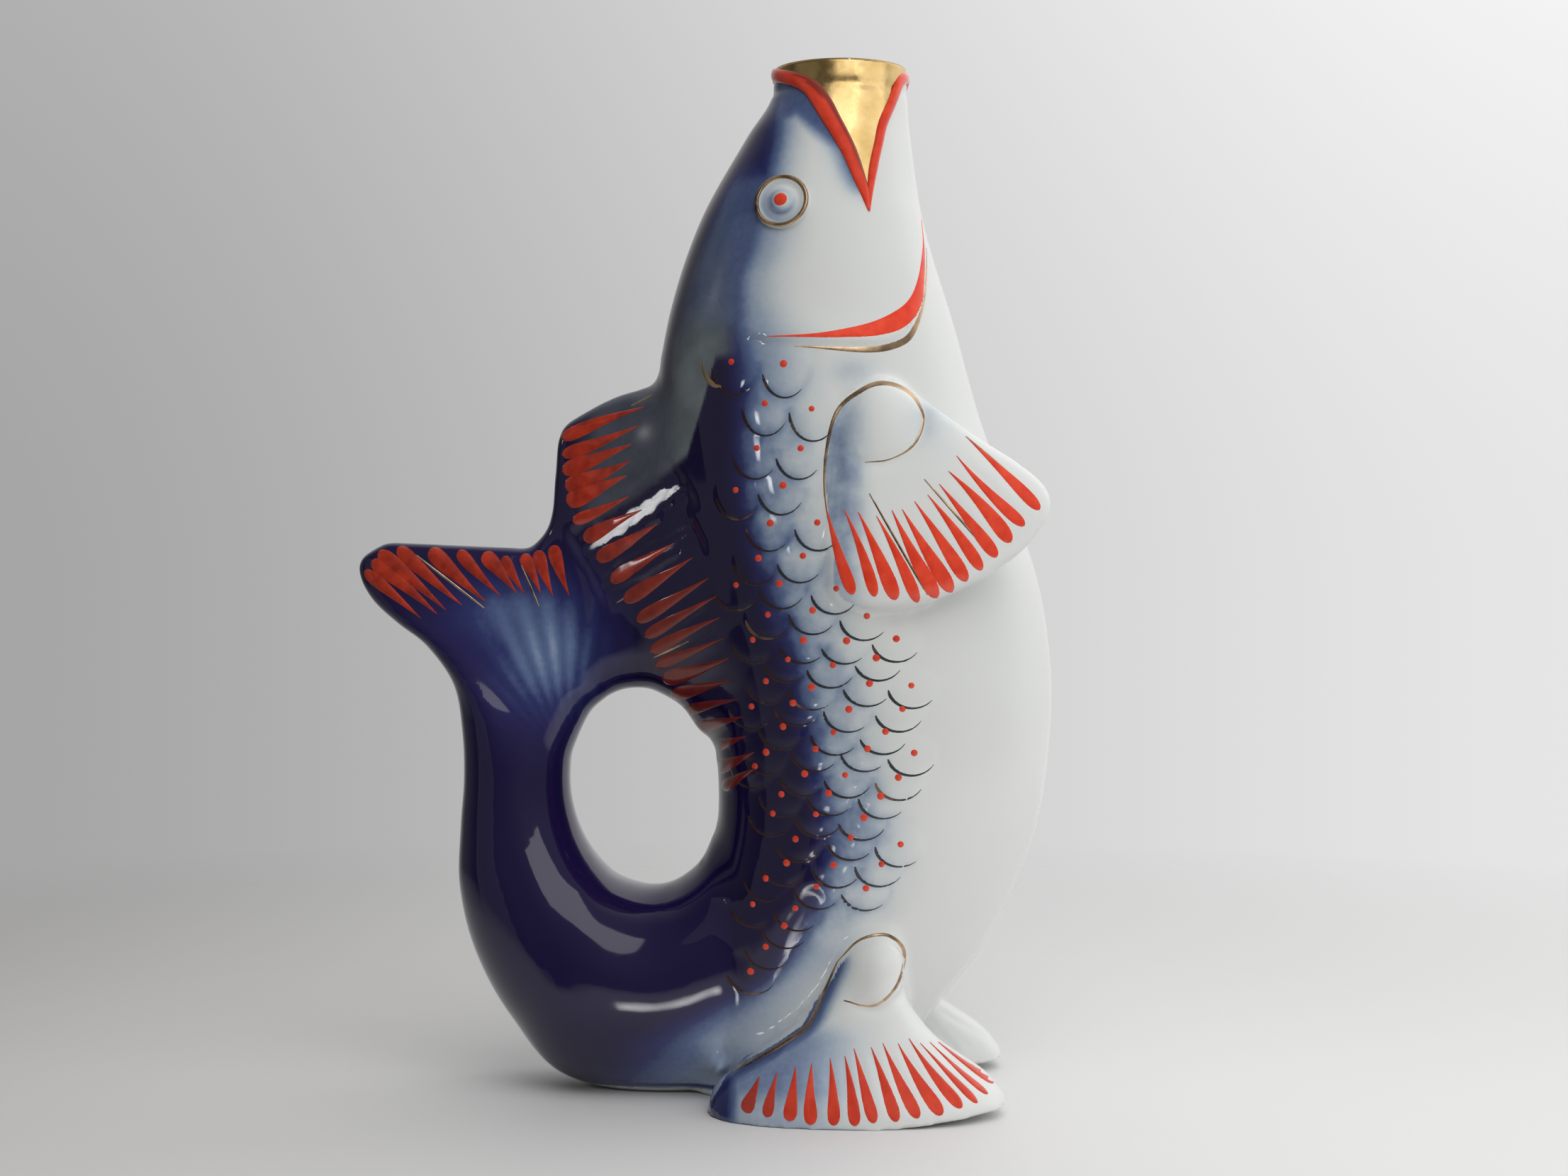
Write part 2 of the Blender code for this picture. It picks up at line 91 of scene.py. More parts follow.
# Tail fan ribs: inner x and z, outer x and z, half thickness at both ends
CAUDAL = (
    (-37.2, 93.8, -79.0, 110.6, 10.0, 8.8), (-31.0, 101.0, -86.2, 116.0, 8.8, 7.4),
    (-33.5, 112.0, -92.5, 121.6, 7.4, 6.0), (-37.5, 123.0, -96.0, 127.6, 6.2, 5.0),
    (-41.5, 130.5, -95.8, 132.3, 5.0, 4.2), (-44.0, 133.5, -91.2, 135.6, 3.6, 3.2),
    (-45.5, 134.7, -88.5, 136.6, 1.6, 1.6),
)
ROUND_SHARE = 0.98

# Side fins: distance from the middle of the root, reach to the rear and the front, bulge and sink
PECTORAL = (
    (-10.5, 3.0, 3.0, 1.0, 3.0), (-7.0, 8.0, 8.0, 3.5, 6.0), (0.0, 11.8, 11.8, 5.8, 8.0),
    (7.0, 15.5, 15.5, 6.2, 8.0), (15.0, 20.0, 20.0, 6.4, 8.0), (24.0, 24.5, 25.5, 6.4, 7.0),
    (32.0, 27.2, 28.8, 6.2, 6.0), (38.0, 25.2, 27.0, 5.6, 5.0), (43.0, 17.5, 18.5, 4.8, 3.6),
    (45.5, 8.0, 8.0, 3.4, 2.0),
)
PECTORAL_ROOT = (36.6, 165, 0)
PECTORAL_TURN = 25
PECTORAL_LEAN = 10
PELVIC = (
    (-11.0, 3.0, 3.0, 8.0, 4.0), (-8.0, 8.0, 6.6, 11.2, 6.0), (0.0, 11.4, 7.2, 13.5, 6.0),
    (8.0, 12.8, 8.8, 13.5, 6.0), (16.0, 17.5, 16.0, 14.0, 7.0), (23.0, 24.5, 28.8, 16.0, 9.0),
    (29.0, 31.0, 34.5, 18.8, 11.0), (34.0, 35.2, 35.2, 21.2, 12.0), (42.0, 36.5, 34.5, 22.0, 12.0),
)
PELVIC_ROOT = (35.6, 35, 7.7)
PELVIC_TURN = -6
PELVIC_LEAN = 11
PELVIC_TOE_X = 42
PELVIC_TOE_LIFT = 6
FAN_SQUARENESS = 2.4

# Skin
VOXEL = 0.85
SMOOTH_STEPS = 12
SMOOTH_IN = 0.6
SMOOTH_OUT = 0.61
CREASE_STEPS = 40
CREASE_DEPTH = 0.004
CREASE_PULL = 0.8
FRESH_NORMALS = 5
LAST_STEPS = 4
LAST_PULL = 0.5
PARTING_STEPS = 6
# Rings of the lofts, and points in a ring of the trunk
TRUNK_NET = (132, 144)
TAIL_RINGS = 170
DORSAL_RINGS = 110
INSIDE_NET = (90, 96)
INSIDE_SPARE = 3
# Where the web and the tail run into the trunk, in side view, and the net on which that valley is filled
JOINT_X = (-38, 18)
JOINT_Z = (6, 196)
JOINT_CELL = 1.0
JOINT_ROUNDS = 500
PIECES = {
    "body_casting": "porcelain",
    "tail_casting": "cobalt_glaze",
    "caudal_fin": "cobalt_glaze",
    "dorsal_fin": "cobalt_glaze",
    "pectoral_fin_right": "porcelain",
    "pectoral_fin_left": "porcelain",
    "pelvic_fin_right": "porcelain",
    "pelvic_fin_left": "porcelain",
}


def through(places, values, at):
    """Smooth cubic through rows of values at the given places, read at other places."""
    places = np.asarray(places, float)
    values = np.asarray(values, float).reshape(len(places), -1)
    at = np.atleast_1d(np.asarray(at, float))
    last = len(places) - 1
    low = np.maximum(np.arange(last + 1) - 1, 0)
    high = np.minimum(np.arange(last + 1) + 1, last)
    slope = (values[high] - values[low]) / (places[high] - places[low])[:, None]
    k = np.clip(np.searchsorted(places, at, side="right") - 1, 0, last - 1)
    span = (places[k + 1] - places[k])[:, None]
    t = (at - places[k])[:, None] / span
    return (
        (2 * t**3 - 3 * t**2 + 1) * values[k]
        + (t**3 - 2 * t**2 + t) * slope[k] * span
        + (3 * t**2 - 2 * t**3) * values[k + 1]
        + (t**3 - t**2) * slope[k + 1] * span
    )


def along(rows, count):
    """Evenly many smooth rows through the given rows."""
    return through(range(len(rows)), rows, np.linspace(0, len(rows) - 1, count))


def smooth(low, high, value):
    """Soft step from 0 at low to 1 at high."""
    t = np.clip((np.asarray(value, float) - low) / (high - low), 0, 1)
    return t * t * (3 - 2 * t)


def fade(low, high, value):
    """Soft step from 1 at low to 0 at high."""
    return 1 - smooth(low, high, value)


def hump(value, middle, width):
    """Soft bell round a middle."""
    return np.exp(-(((np.asarray(value, float) - middle) / width) ** 2))


def read_off(table, value, given=0, wanted=1):
    """One column of a table at values of another."""
    table = np.asarray(table, float)
    return np.interp(value, table[:, given], table[:, wanted])


def x_at(path, z):
    """x of a rising path of x and z at heights."""
    return read_off(path, z, 1, 0)


def trunk_at(z):
    """Middle, half length and half breadth of the trunk at heights."""
    back, front, half_breadth = through(TRUNK[:, 0], TRUNK[:, 1:], np.clip(z, 0, RIM)).T
    return (back + front) / 2, (front - back) / 2, half_breadth


def trunk_surface(turn, z):
    """Points and outward directions on the trunk; turn is 0 at the belly and grows towards +Y."""
    turn, z = np.atleast_1d(turn), np.atleast_1d(z)
    middle, a, b = trunk_at(z)
    point = np.stack([middle + a * np.cos(turn), b * np.sin(turn), z], 1)
    out = np.stack([np.cos(turn) / a, np.sin(turn) / b, 0 * z], 1)
    return point, out / np.linalg.norm(out, axis=1)[:, None]


def trunk_turn(x, z):
    """Turn of the near side's point at x and z, without its sign."""
    middle, a, _ = trunk_at(z)
    return np.arccos(np.clip((x - middle) / a, -1, 1))


def flank(x, z):
    """Distance of the trunk's side from the middle plane."""
    return float((trunk_at(z)[2] * np.sin(trunk_turn(x, z)))[0])


def trunk_rings(low, high, count, segments, wall=lambda z: 0 * z):
    """Level rings of the trunk, drawn in by the wall."""
    turn = np.linspace(0, 2 * math.pi, segments, endpoint=False)
    rings = []
    for z in np.linspace(low, high, count):
        middle, a, b = trunk_at(z)
        thick = wall(z)
        x = middle + (a - thick) * np.cos(turn)
        y = (b - thick) * np.sin(turn)
        rings.append(np.stack([x, y, 0 * x + z], 1))
    return rings


def spoke_rib(spoke, tuck=0.0):
    """The rib that a spoke of the finger loop makes from the loop's edge outwards."""
    angle, outer, loop_side, outer_side = spoke
    a = math.radians(angle)
    tilted = math.radians(angle + LOOP_TILT)
    inner = 1 / math.hypot(math.sin(tilted) / LOOP_HALF[0], math.cos(tilted) / LOOP_HALF[1]) + tuck
    ends = [(LOOP[0] - r * math.sin(a), LOOP[1] - r * math.cos(a)) for r in (inner, outer)]
    return (*ends[0], *ends[1], loop_side, outer_side)


def rib_ring(rib, segments=48):
    """Ring round a rib: a half circle at each end with straight sides between."""
    inner = np.array((rib[0], 0, rib[1]))
    outer = np.array((rib[2], 0, rib[3]))
    length = np.linalg.norm(outer - inner)
    run = (outer - inner) / length
    inner_side, outer_side = np.minimum(rib[4:6], ROUND_SHARE * length / 2)
    inner_middle = inner + run * inner_side
    outer_middle = outer - run * outer_side
    apart = np.linalg.norm(outer_middle - inner_middle)
    spread = math.acos(np.clip((inner_side - outer_side) / apart, -1, 1))
    share = np.linspace(0, 1, segments // 2)[:, None]
    across = np.array((0, 1, 0))
    t = spread * (2 * share - 1)
    outer_half = outer_middle + outer_side * (run * np.cos(t) + across * np.sin(t))
    t = spread + 2 * (math.pi - spread) * share
    inner_half = inner_middle + inner_side * (run * np.cos(t) + across * np.sin(t))
    return np.concatenate([outer_half, inner_half])


def fan_rings(sections, root, turn, lean, segments=72, count=60):
    """Rings of the near side's fin, from its root to its margin."""
    a, b = math.radians(turn), math.radians(lean)
    down = np.array((math.sin(a) * math.cos(b), -math.sin(b), -math.cos(a) * math.cos(b)))
    outward = -np.array((math.sin(a) * math.sin(b), math.cos(b), -math.cos(a) * math.sin(b)))
    rearward = np.cross(down, outward)
    start = np.array((root[0], root[2] - flank(root[0], root[1]), root[1]))
    t = np.linspace(0, 2 * math.pi, segments, endpoint=False)
    power = 2 / FAN_SQUARENESS
    wide = (np.sign(np.cos(t)) * np.abs(np.cos(t)) ** power)[:, None]
    high = (np.sign(np.sin(t)) * np.abs(np.sin(t)) ** power)[:, None]
    rings = []
    for distance, rear, front, bulge, sink in along(sections, count):
        reach = np.where(wide > 0, rear, front)
        rise = np.where(high > 0, bulge, sink)
        rings.append(start + down * distance + rearward * reach * wide + outward * rise * high)
    return rings


def loft(rings):
    """Closed solid through rings of points, in metres."""
    bm = bmesh.new()
    loops = [[bm.verts.new(point * MM) for point in ring] for ring in rings]
    for low, high in zip(loops, loops[1:]):
        for i in range(len(low)):
            bm.faces.new((low[i - 1], low[i], high[i], high[i - 1]))
    bm.faces.new(loops[0])
    bm.faces.new(loops[-1])
    bmesh.ops.recalc_face_normals(bm, faces=bm.faces)
    return bm


def trim(bm, point, keep):
    """Cut a solid by a plane and close it again."""
    everything = bm.verts[:] + bm.edges[:] + bm.faces[:]
    bmesh.ops.bisect_plane(
        bm, geom=everything, plane_co=Vector(point) * MM, plane_no=Vector(keep), clear_inner=True
    )
    bmesh.ops.holes_fill(bm, edges=[e for e in bm.edges if e.is_boundary])
    bmesh.ops.recalc_face_normals(bm, faces=bm.faces)
    return bm


def mirrored(bm):
    """The same solid on the far side."""
    twin = bm.copy()
    for vert in twin.verts:
        vert.co.y = -vert.co.y
    bmesh.ops.reverse_faces(twin, faces=twin.faces)
    return twin


def new_object(name, mesh):
    """Object of a mesh in the scene."""
    obj = bpy.data.objects.new(name, mesh)
    bpy.context.scene.collection.objects.link(obj)
    return obj


def finished(bm, name):
    """Mesh of a solid, which is then let go."""
    mesh = bpy.data.meshes.new(name)
    bm.to_mesh(mesh)
    bm.free()
    return mesh


def shade_smooth(mesh):
    """Let a mesh's faces run into one another."""
    mesh.polygons.foreach_set("use_smooth", [True] * len(mesh.polygons))


def new_mesh(name, verts, faces):
    """Smooth-shaded mesh from points in millimetres."""
    mesh = bpy.data.meshes.new(name)
    mesh.from_pydata([tuple(v) for v in np.asarray(verts) * MM], [], [tuple(map(int, f)) for f in faces])
    shade_smooth(mesh)
    mesh.update()
    return mesh


def evaluated(obj):
    """Mesh of an object with its modifiers done."""
    depsgraph = bpy.context.evaluated_depsgraph_get()
    return bpy.data.meshes.new_from_object(obj.evaluated_get(depsgraph))


def search_tree(mesh):
    """Tree that finds places on a mesh."""
    return BVHTree.FromPolygons([v.co for v in mesh.vertices], [p.vertices for p in mesh.polygons])


def values_of(items, key, width=3, kind=np.float32):
    """A row of values for each of a mesh's items."""
    flat = np.empty(len(items) * width, kind)
    items.foreach_get(key, flat)
    return flat.reshape(-1, width)


def points_of(mesh):
    """Vertex positions of a mesh in millimetres."""
    return values_of(mesh.vertices, "co").astype(float) / MM


def normals_of(mesh):
    """Vertex normals of a mesh."""
    return values_of(mesh.vertex_normals, "vector").astype(float)


def set_points(mesh, points):
    """Move a mesh's vertices to positions in millimetres."""
    mesh.vertices.foreach_set("co", (points * MM).astype(np.float32).ravel())
    mesh.update()


def neighbour_mean(mesh):
    """Function that averages a per-vertex array over each vertex's neighbours."""
    a, b = values_of(mesh.edges, "vertices", 2, np.int32).T
    count = len(mesh.vertices)
    degree = np.maximum(np.bincount(a, minlength=count) + np.bincount(b, minlength=count), 1)

    def mean(values):
        columns = [
            (np.bincount(a, column[b], count) + np.bincount(b, column[a], count)) / degree
            for column in values.T
        ]
        return np.stack(columns, 1)

    return mean


def fill_joints(skin, points):
    """Raise the valley beside the trunk in broad fillets, alike on both sides."""
    tree = search_tree(skin)
    xs = np.arange(*JOINT_X, JOINT_CELL)
    zs = np.arange(*JOINT_Z, JOINT_CELL)
    high = np.zeros((len(xs), len(zs)))
    for i, x in enumerate(xs):
        for k, z in enumerate(zs):
            found = tree.ray_cast(Vector((x, NEAR * SIDE_SEARCH, z)) * MM, Vector((0, -NEAR, 0)))[0]
            if found is not None:
                high[i, k] = max(NEAR * found.y / MM, 0)
    # Filled beside the web and the tail, and neither on the head and the base nor at the foot fins
    gx, gz = np.meshgrid(xs, zs, indexing="ij")
    share = smooth(-38, -26, gx) * fade(6, 16, gx) * fade(182, 196, gz)
    share *= 1 - smooth(-8, 0, gx) * fade(36, 48, gz)
    share *= smooth(6, 14, gz)
    share[high == 0] = 0
    filled = high.copy()
    for _ in range(JOINT_ROUNDS):
        wide = np.pad(filled, 1, mode="edge")
        blur = (wide[:-2, 1:-1] + wide[2:, 1:-1] + wide[1:-1, :-2] + wide[1:-1, 2:]) / 4
        filled += share * np.maximum(blur - filled, 0)
    gain = filled - high
    x, y, z = points.T
    u = np.clip((x - xs[0]) / JOINT_CELL, 0, len(xs) - 1.001)
    v = np.clip((z - zs[0]) / JOINT_CELL, 0, len(zs) - 1.001)
    i, k = u.astype(int), v.astype(int)
    u, v = u - i, v - k
    low = gain[i, k] * (1 - u) + gain[i + 1, k] * u
    over = gain[i, k + 1] * (1 - u) + gain[i + 1, k + 1] * u
    points[:, 1] += np.sign(y) * (low * (1 - v) + over * v) * smooth(0.5, 3, np.abs(y))


def soften(skin):
    """Even out the skin, and fill the creases at the joints as slip and glaze do."""
    mean = neighbour_mean(skin)
    points = points_of(skin)
    for _ in range(SMOOTH_STEPS):
        points += SMOOTH_IN * (mean(points) - points)
        points -= SMOOTH_OUT * (mean(points) - points)
    # Little is filled on the flank, and next to nothing at the foot fins
    x, y, z = points.T
    fill = 1 - 0.85 * smooth(6, 16, x)
    fill[(np.abs(y) > 26) & (z < 30)] = 0.1
    for step in range(CREASE_STEPS):
        if step % FRESH_NORMALS == 0:
            set_points(skin, points)
            normals = normals_of(skin)
        pull = mean(points) - points
        crease = np.clip(np.sum(pull * normals, 1) / CREASE_DEPTH, 0, 1)
        points += CREASE_PULL * pull * (crease * fill)[:, None]
    set_points(skin, points)
    fill_joints(skin, points)
    for _ in range(LAST_STEPS):
        points += LAST_PULL * (mean(points) - points)
    points[:, 2] = np.maximum(points[:, 2], 0)
    set_points(skin, points)


def raw_skin():
    """All the clay pieces as one body with soft joints."""
    up = (0, 0, 1)
    solids = [loft(trunk_rings(0, RIM + RIM_SPARE, *TRUNK_NET))]
    tail = [spoke_rib(s) for s in TAIL] + list(CAUDAL)
    solids.append(trim(loft([rib_ring(r) for r in along(tail, TAIL_RINGS)]), (0, 0, 0), up))
    dorsal = [spoke_rib(s) for s in DORSAL[:-2]] + [spoke_rib(s, DORSAL_TUCK) for s in DORSAL[-2:]]
    solids.append(loft([rib_ring(r) for r in along(dorsal, DORSAL_RINGS)]))
    pectoral = loft(fan_rings(PECTORAL, PECTORAL_ROOT, PECTORAL_TURN, PECTORAL_LEAN))
    pelvic = trim(loft(fan_rings(PELVIC, PELVIC_ROOT, PELVIC_TURN, PELVIC_LEAN)), (0, 0, 0), up)
    lift = math.radians(PELVIC_TOE_LIFT)
    trim(pelvic, (PELVIC_TOE_X, 0, 0), (-math.sin(lift), 0, math.cos(lift)))
    for fin in (pectoral, pelvic):
        solids += [fin, mirrored(fin)]
    whole = bmesh.new()
    for solid in solids:
        mesh = finished(solid, "solid")
        whole.from_mesh(mesh)
        bpy.data.meshes.remove(mesh)
    obj = new_object("raw_skin", finished(whole, "raw_skin"))
    remesh = obj.modifiers.new("one_body", "REMESH")
    remesh.mode = "VOXEL"
    remesh.voxel_size = VOXEL * MM
    skin = evaluated(obj)
    bpy.data.objects.remove(obj)
    soften(skin)
    bm = bmesh.new()
    bm.from_mesh(skin)
    trim(bm, (0, 0, RIM), (0, 0, -1)).to_mesh(skin)
    bm.free()
    return skin


# Painted rows of brush strokes: guide points of the pointed tips and of the round ends, as x and z
Row = namedtuple("Row", "count half_width tips ends")
PECTORAL_ROW = Row(
    12,
    2.0,
    ((24.3, 144.1), (38.0, 143.8), (48.3, 148.6), (56.8, 160.3)),
    ((30.9, 123.3), (49.0, 122.2), (62.0, 130.2), (74.3, 143.2)),
)
PELVIC_ROW = Row(
    15,
    1.75,
    ((8.8, 11.2), (23.3, 15.0), (34.3, 18.7), (44.6, 19.3), (51.4, 16.8)),
    ((5.7, 3.0), (24.2, 1.0), (41.2, 2.2), (58.3, 4.6), (66.0, 9.0)),
)
DORSAL_ROW = Row(
    21,
    1.9,
    ((-21.1, 170.4), (-25.0, 148.7), (-4.5, 128.4), (1.6, 103.0), (7.9, 81.8)),
    ((-44.0, 162.5), (-40.9, 141.8), (-24.2, 117.0), (-16.2, 98.0), (-2.5, 75.5)),
)
CAUDAL_ROW = Row(
    11,
    1.8,
    ((-78.0, 116.9), (-69.5, 119.3), (-58.3, 122.2), (-50.5, 122.9), (-41.2, 122.7)),
    ((-94.0, 129.4), (-88.5, 135.0), (-70.1, 134.2), (-56.0, 133.0), (-46.0, 135.8)),
)

# Scales: rows from the gill down, further apart higher up; each row shifts by a third of the pitch
SCALE_TOP = 180
SCALE_BOTTOM = 33
SCALE_PITCH = 11.6
SCALE_FIRST = 2.5
# Height of a row up to SCALE_EVEN, and how much it grows for each millimetre above
SCALE_ROW = 5.3
SCALE_EVEN = 112
SCALE_GROWTH = 0.085
SCALE_STRETCH = 0.6
SCALE_STRAY = 0.9
SCALE_HALF = (5.8, 5.0)
SCALE_DROP = 1
SCALE_RIM = 0.16
SCALE_RISE = 0.55
SCALE_LEFT = ((33, 5), (60, 7), (84, 6), (120, 2), (150, -1), (165, 1), (180, -4))
SCALE_RIGHT = (
    (33, 16), (47, 24), (54, 33), (63, 41), (84, 48), (103, 49), (118, 46), (128, 30), (140, 22),
    (182, 22),
)
Scale = namedtuple("Scale", "x z half_width half_height")


def scale_places():
    """Where the scales sit on a flank."""
    places = []
    z = SCALE_TOP
    row = 0
    while z > SCALE_BOTTOM:
        pitch = SCALE_ROW + SCALE_GROWTH * max(z - SCALE_EVEN, 0)
        left = read_off(SCALE_LEFT, z)
        right = read_off(SCALE_RIGHT, z)
        first = left + (-SCALE_PITCH / 3 * row - left + SCALE_FIRST) % SCALE_PITCH
        for x in np.arange(first, right, SCALE_PITCH):
            dx, dz = rng.uniform(-SCALE_STRAY, SCALE_STRAY, 2)
            half_height = SCALE_HALF[1] * (pitch / SCALE_ROW) ** SCALE_STRETCH
            places.append(Scale(x + dx, z + dz, SCALE_HALF[0], half_height))
        z -= pitch
        row += 1
    return places


def row_lines(row):
    """Tip and end of each stroke in a row."""
    return list(zip(along(row.tips, row.count), along(row.ends, row.count)))


# Gill cover edge, as x and z, from its rear tip forward and up
GILL_EDGE = (
    (9.7, 185.0), (31.5, 184.4), (39.2, 185.4), (44.4, 189.9), (46.5, 196.5), (46.8, 209.0),
    (46.2, 216.5),
)


def line_distance(points, a, b):
    """Distance in side view from points to a line from a to b, and how far along it each lies, 0 to 1."""
    a, b = np.asarray(a), np.asarray(b)
    run = b - a
    t = np.clip(((points - a) @ run) / (run @ run), 0, 1)
    return np.linalg.norm(points - a - t[:, None] * run, axis=1), t


def scale_field(side, scales):
    """How high on a scale each place in side view lies, and how near to a scale's lower edge, 0 to 1."""
    dome = np.zeros(len(side))
    edge = np.zeros(len(side))
    for s in scales:
        across = (side[:, 0] - s.x) / (s.half_width * 1.05)
        down = (s.z - SCALE_DROP - side[:, 1]) / s.half_height
        dome = np.maximum(dome, np.sqrt(np.clip(1 - across**2 - down**2, 0, 1)) * (0.6 + 0.4 * down))
        edge = np.maximum(edge, hump(np.hypot(across, down), 1, SCALE_RIM) * (down > 0))
    return dome, edge


# Root bosses of the side fins: x, z, half width, half height, the dome's height, the depth of the groove
BOSSES = ((35.8, 164.6, 11.0, 9.8, 1.2, 0.4), (35.2, 34.6, 8.8, 8.4, 2.0, 0.6))
# Height of the relief under each stroke of a row
ROW_RELIEF = ((PECTORAL_ROW, -0.15), (PELVIC_ROW, -0.35), (DORSAL_ROW, 0.12), (CAUDAL_ROW, 0.14))
STROKE_RELIEF_WIDTH = 1.2
# Gill cover: height of its edge, and how far that runs out forward and back
GILL_RISE = 0.6
GILL_RUN = (5, 0.9)
# Groove under the rim: height, half width, depth
RIM_GROOVE = (248.4, 1.1, 0.3)
# Rays of the tail fan spread from here
RAY_ROOT = (-41, 82)
RAY_STEP = 9.0
RAY_RISE = 0.05
# Flats in the glaze on the web: both ends of the middle line as x and z, half width, and how much more the
# flat leans across that line than the skin did
FLATS = (
    ((-38, 134), (-12.5, 150.5), 2.9, -0.3),
    ((-33, 125.5), (-9, 138.5), 1.4, -0.33),
)
# How far off a flat its tilt and its levelling end, how much sooner at its ends, and the most of each
FLAT_FADE = 3.0
LEVEL_FADE = 6.0
END_RATE = 2.5
LEVEL_MOST = 2.0
TILT_MOST = 1.5
FLAT_RIPPLE = 0.012
# Line on the lower rear flank with flat scales, as x and z, and how far off it scales begin and are full
CALM_LINE = ((8.5, 31.5), (20.5, 50.5))
CALM_WIDTH = (1.5, 5)


def boss_field(side, x, z, half_width, half_height):
    """A boss's dome and the groove round it, 0 to 1."""
    across = (side[:, 0] - x) / half_width
    far = np.hypot(across, (side[:, 1] - z) / half_height)
    front = smooth(-0.9, 0.4, across)
    return np.clip(1 - far**2, 0, 1) ** 0.75 * front, hump(far, 1.08, 0.14) * front


def fan_patch(side):
    """Where the tail fan's glaze is thin, 0 to 1, and its rays, -1 to 1."""
    x, z = side.T
    patch = hump(x, -47, 14) * hump(z, 109, 16) * (x < -25)
    turn = np.degrees(np.arctan2(x - RAY_ROOT[0], z - RAY_ROOT[1]))
    return patch, np.cos(2 * math.pi * turn / RAY_STEP)


def trunk_gap(points):
    """How far each point stands out sideways from the trunk."""
    x, y, z = points.T
    return np.abs(y) - trunk_at(z)[2] * np.sin(trunk_turn(x, z))


def path_distance(side, path):
    """Distance in side view from places to a path of x and z."""
    return np.min([line_distance(side, a, b)[0] for a, b in zip(path, path[1:])], axis=0)


def signed_distance(side, path):
    """Distance in side view from places to a path, above zero on its left."""
    best = np.full(len(side), 1e9)
    left = np.zeros(len(side), bool)
    for a, b in zip(path, path[1:]):
        away = line_distance(side, a, b)[0]
        closer = away < best
        best[closer] = away[closer]
        turn = (b - a)[0] * (side[:, 1] - a[1]) - (b - a)[1] * (side[:, 0] - a[0])
        left[closer] = turn[closer] > 0
    return np.where(left, best, -best)


def press_flats(points, facing):
    """Level the skin along each of the flats, alike on both sides."""
    for start, end, half, lean in FLATS:
        step = np.subtract(end, start)
        length = np.hypot(*step)
        across = points[:, [0, 2]] - start
        t = across @ step / length
        w = across @ (-step[1], step[0]) / length
        share = np.clip(t / length, 0, 1)
        taper = np.sin(math.pi * (0.02 + 0.96 * share)) ** 0.5
        wide = half * taper * (0.85 + 0.15 * np.sin(1.3 * t))
        beside = np.maximum(0, np.abs(w + 0.3 * np.sin(0.7 * t)) - wide) / (0.25 + 0.75 * taper)
        beyond = np.maximum(0, np.abs(t - length / 2) - length / 2)
        off = np.hypot(beyond, beside)
        around = np.hypot(END_RATE * beyond, np.maximum(0, np.abs(w) - half))
        terms = np.stack([np.ones(len(points)), t, w], 1)
        inside = (off == 0) & (facing > 0.9)
        reach = np.abs(points[:, 1])
        fit = np.linalg.lstsq(terms[inside], reach[inside], rcond=None)[0]
        level = LEVEL_MOST * np.tanh((terms @ fit - reach) / LEVEL_MOST) * fade(0, LEVEL_FADE, around)
        tilt = TILT_MOST * np.tanh(lean * w / TILT_MOST)
        tilt += FLAT_RIPPLE * np.sin(2.1 * w + 1.5 * np.sin(0.6 * t))
        level += tilt * fade(0, FLAT_FADE, off)
        points[:, 1] += np.sign(points[:, 1]) * level * facing


def add_relief(skin, scales):
    """Scales, gill edge, fin rays and fin roots as real shape on the skin."""
    points = points_of(skin)
    normals = normals_of(skin)
    side = points[:, [0, 2]]
    facing = smooth(0.15, 0.45, np.abs(normals[:, 1]))
    gap = trunk_gap(points)
    on_trunk = fade(1.0, 2.2, np.abs(gap)) * (points[:, 2] < 205) * facing
    off_trunk = smooth(1.5, 3, gap) * facing
    dark = read_off(COBALT_EDGE, points[:, 2]) - points[:, 0]
    rise = SCALE_RISE * scale_field(side, scales)[0] * on_trunk * (1 - 0.75 * smooth(1, 12, dark))
    rise *= smooth(*CALM_WIDTH, line_distance(side, *CALM_LINE)[0])
    gill = signed_distance(side, along(GILL_EDGE, 40))
    rise += GILL_RISE * hump(gill, 0, np.where(gill > 0, *GILL_RUN)) * (np.abs(gap) < 2) * facing
    for *boss, high, deep in BOSSES:
        dome, groove = boss_field(side, *boss)
        rise += (high * dome - deep * groove) * off_trunk
    for row, high in ROW_RELIEF:
        for tip, end in row_lines(row):
            d, t = line_distance(side, tip, end)
            rise += high * hump(d, 0, STROKE_RELIEF_WIDTH) * smooth(0, 0.3, t) * fade(0.85, 1, t) * facing
    patch, rays = fan_patch(side)
    rise += RAY_RISE * patch * rays * facing
    height, half, deep = RIM_GROOVE
    rise -= deep * hump(points[:, 2], height, half)
    points += normals * rise[:, None]
    press_flats(points, facing)
    set_points(skin, points)


def hollow_out(skin):
    """Open the skin at the mouth and give it the inside wall."""

    def wall(z):
        return WALL - (WALL - RIM_WALL) * smooth(RIM - RIM_FLARE, RIM, z)

    top = RIM + INSIDE_SPARE
    rings = trunk_rings(FLOOR, RIM, *INSIDE_NET, wall) + trunk_rings(top, top, 1, INSIDE_NET[1], wall)
    cutter = new_object("inside", finished(loft(rings), "inside"))
    obj = new_object("hollow", skin)
    cut = obj.modifiers.new("hollow", "BOOLEAN")
    cut.operation = "DIFFERENCE"
    cut.solver = "EXACT"
    cut.object = cutter
    hollow = evaluated(obj)
    bpy.data.objects.remove(obj)
    bpy.data.objects.remove(cutter)
    return hollow


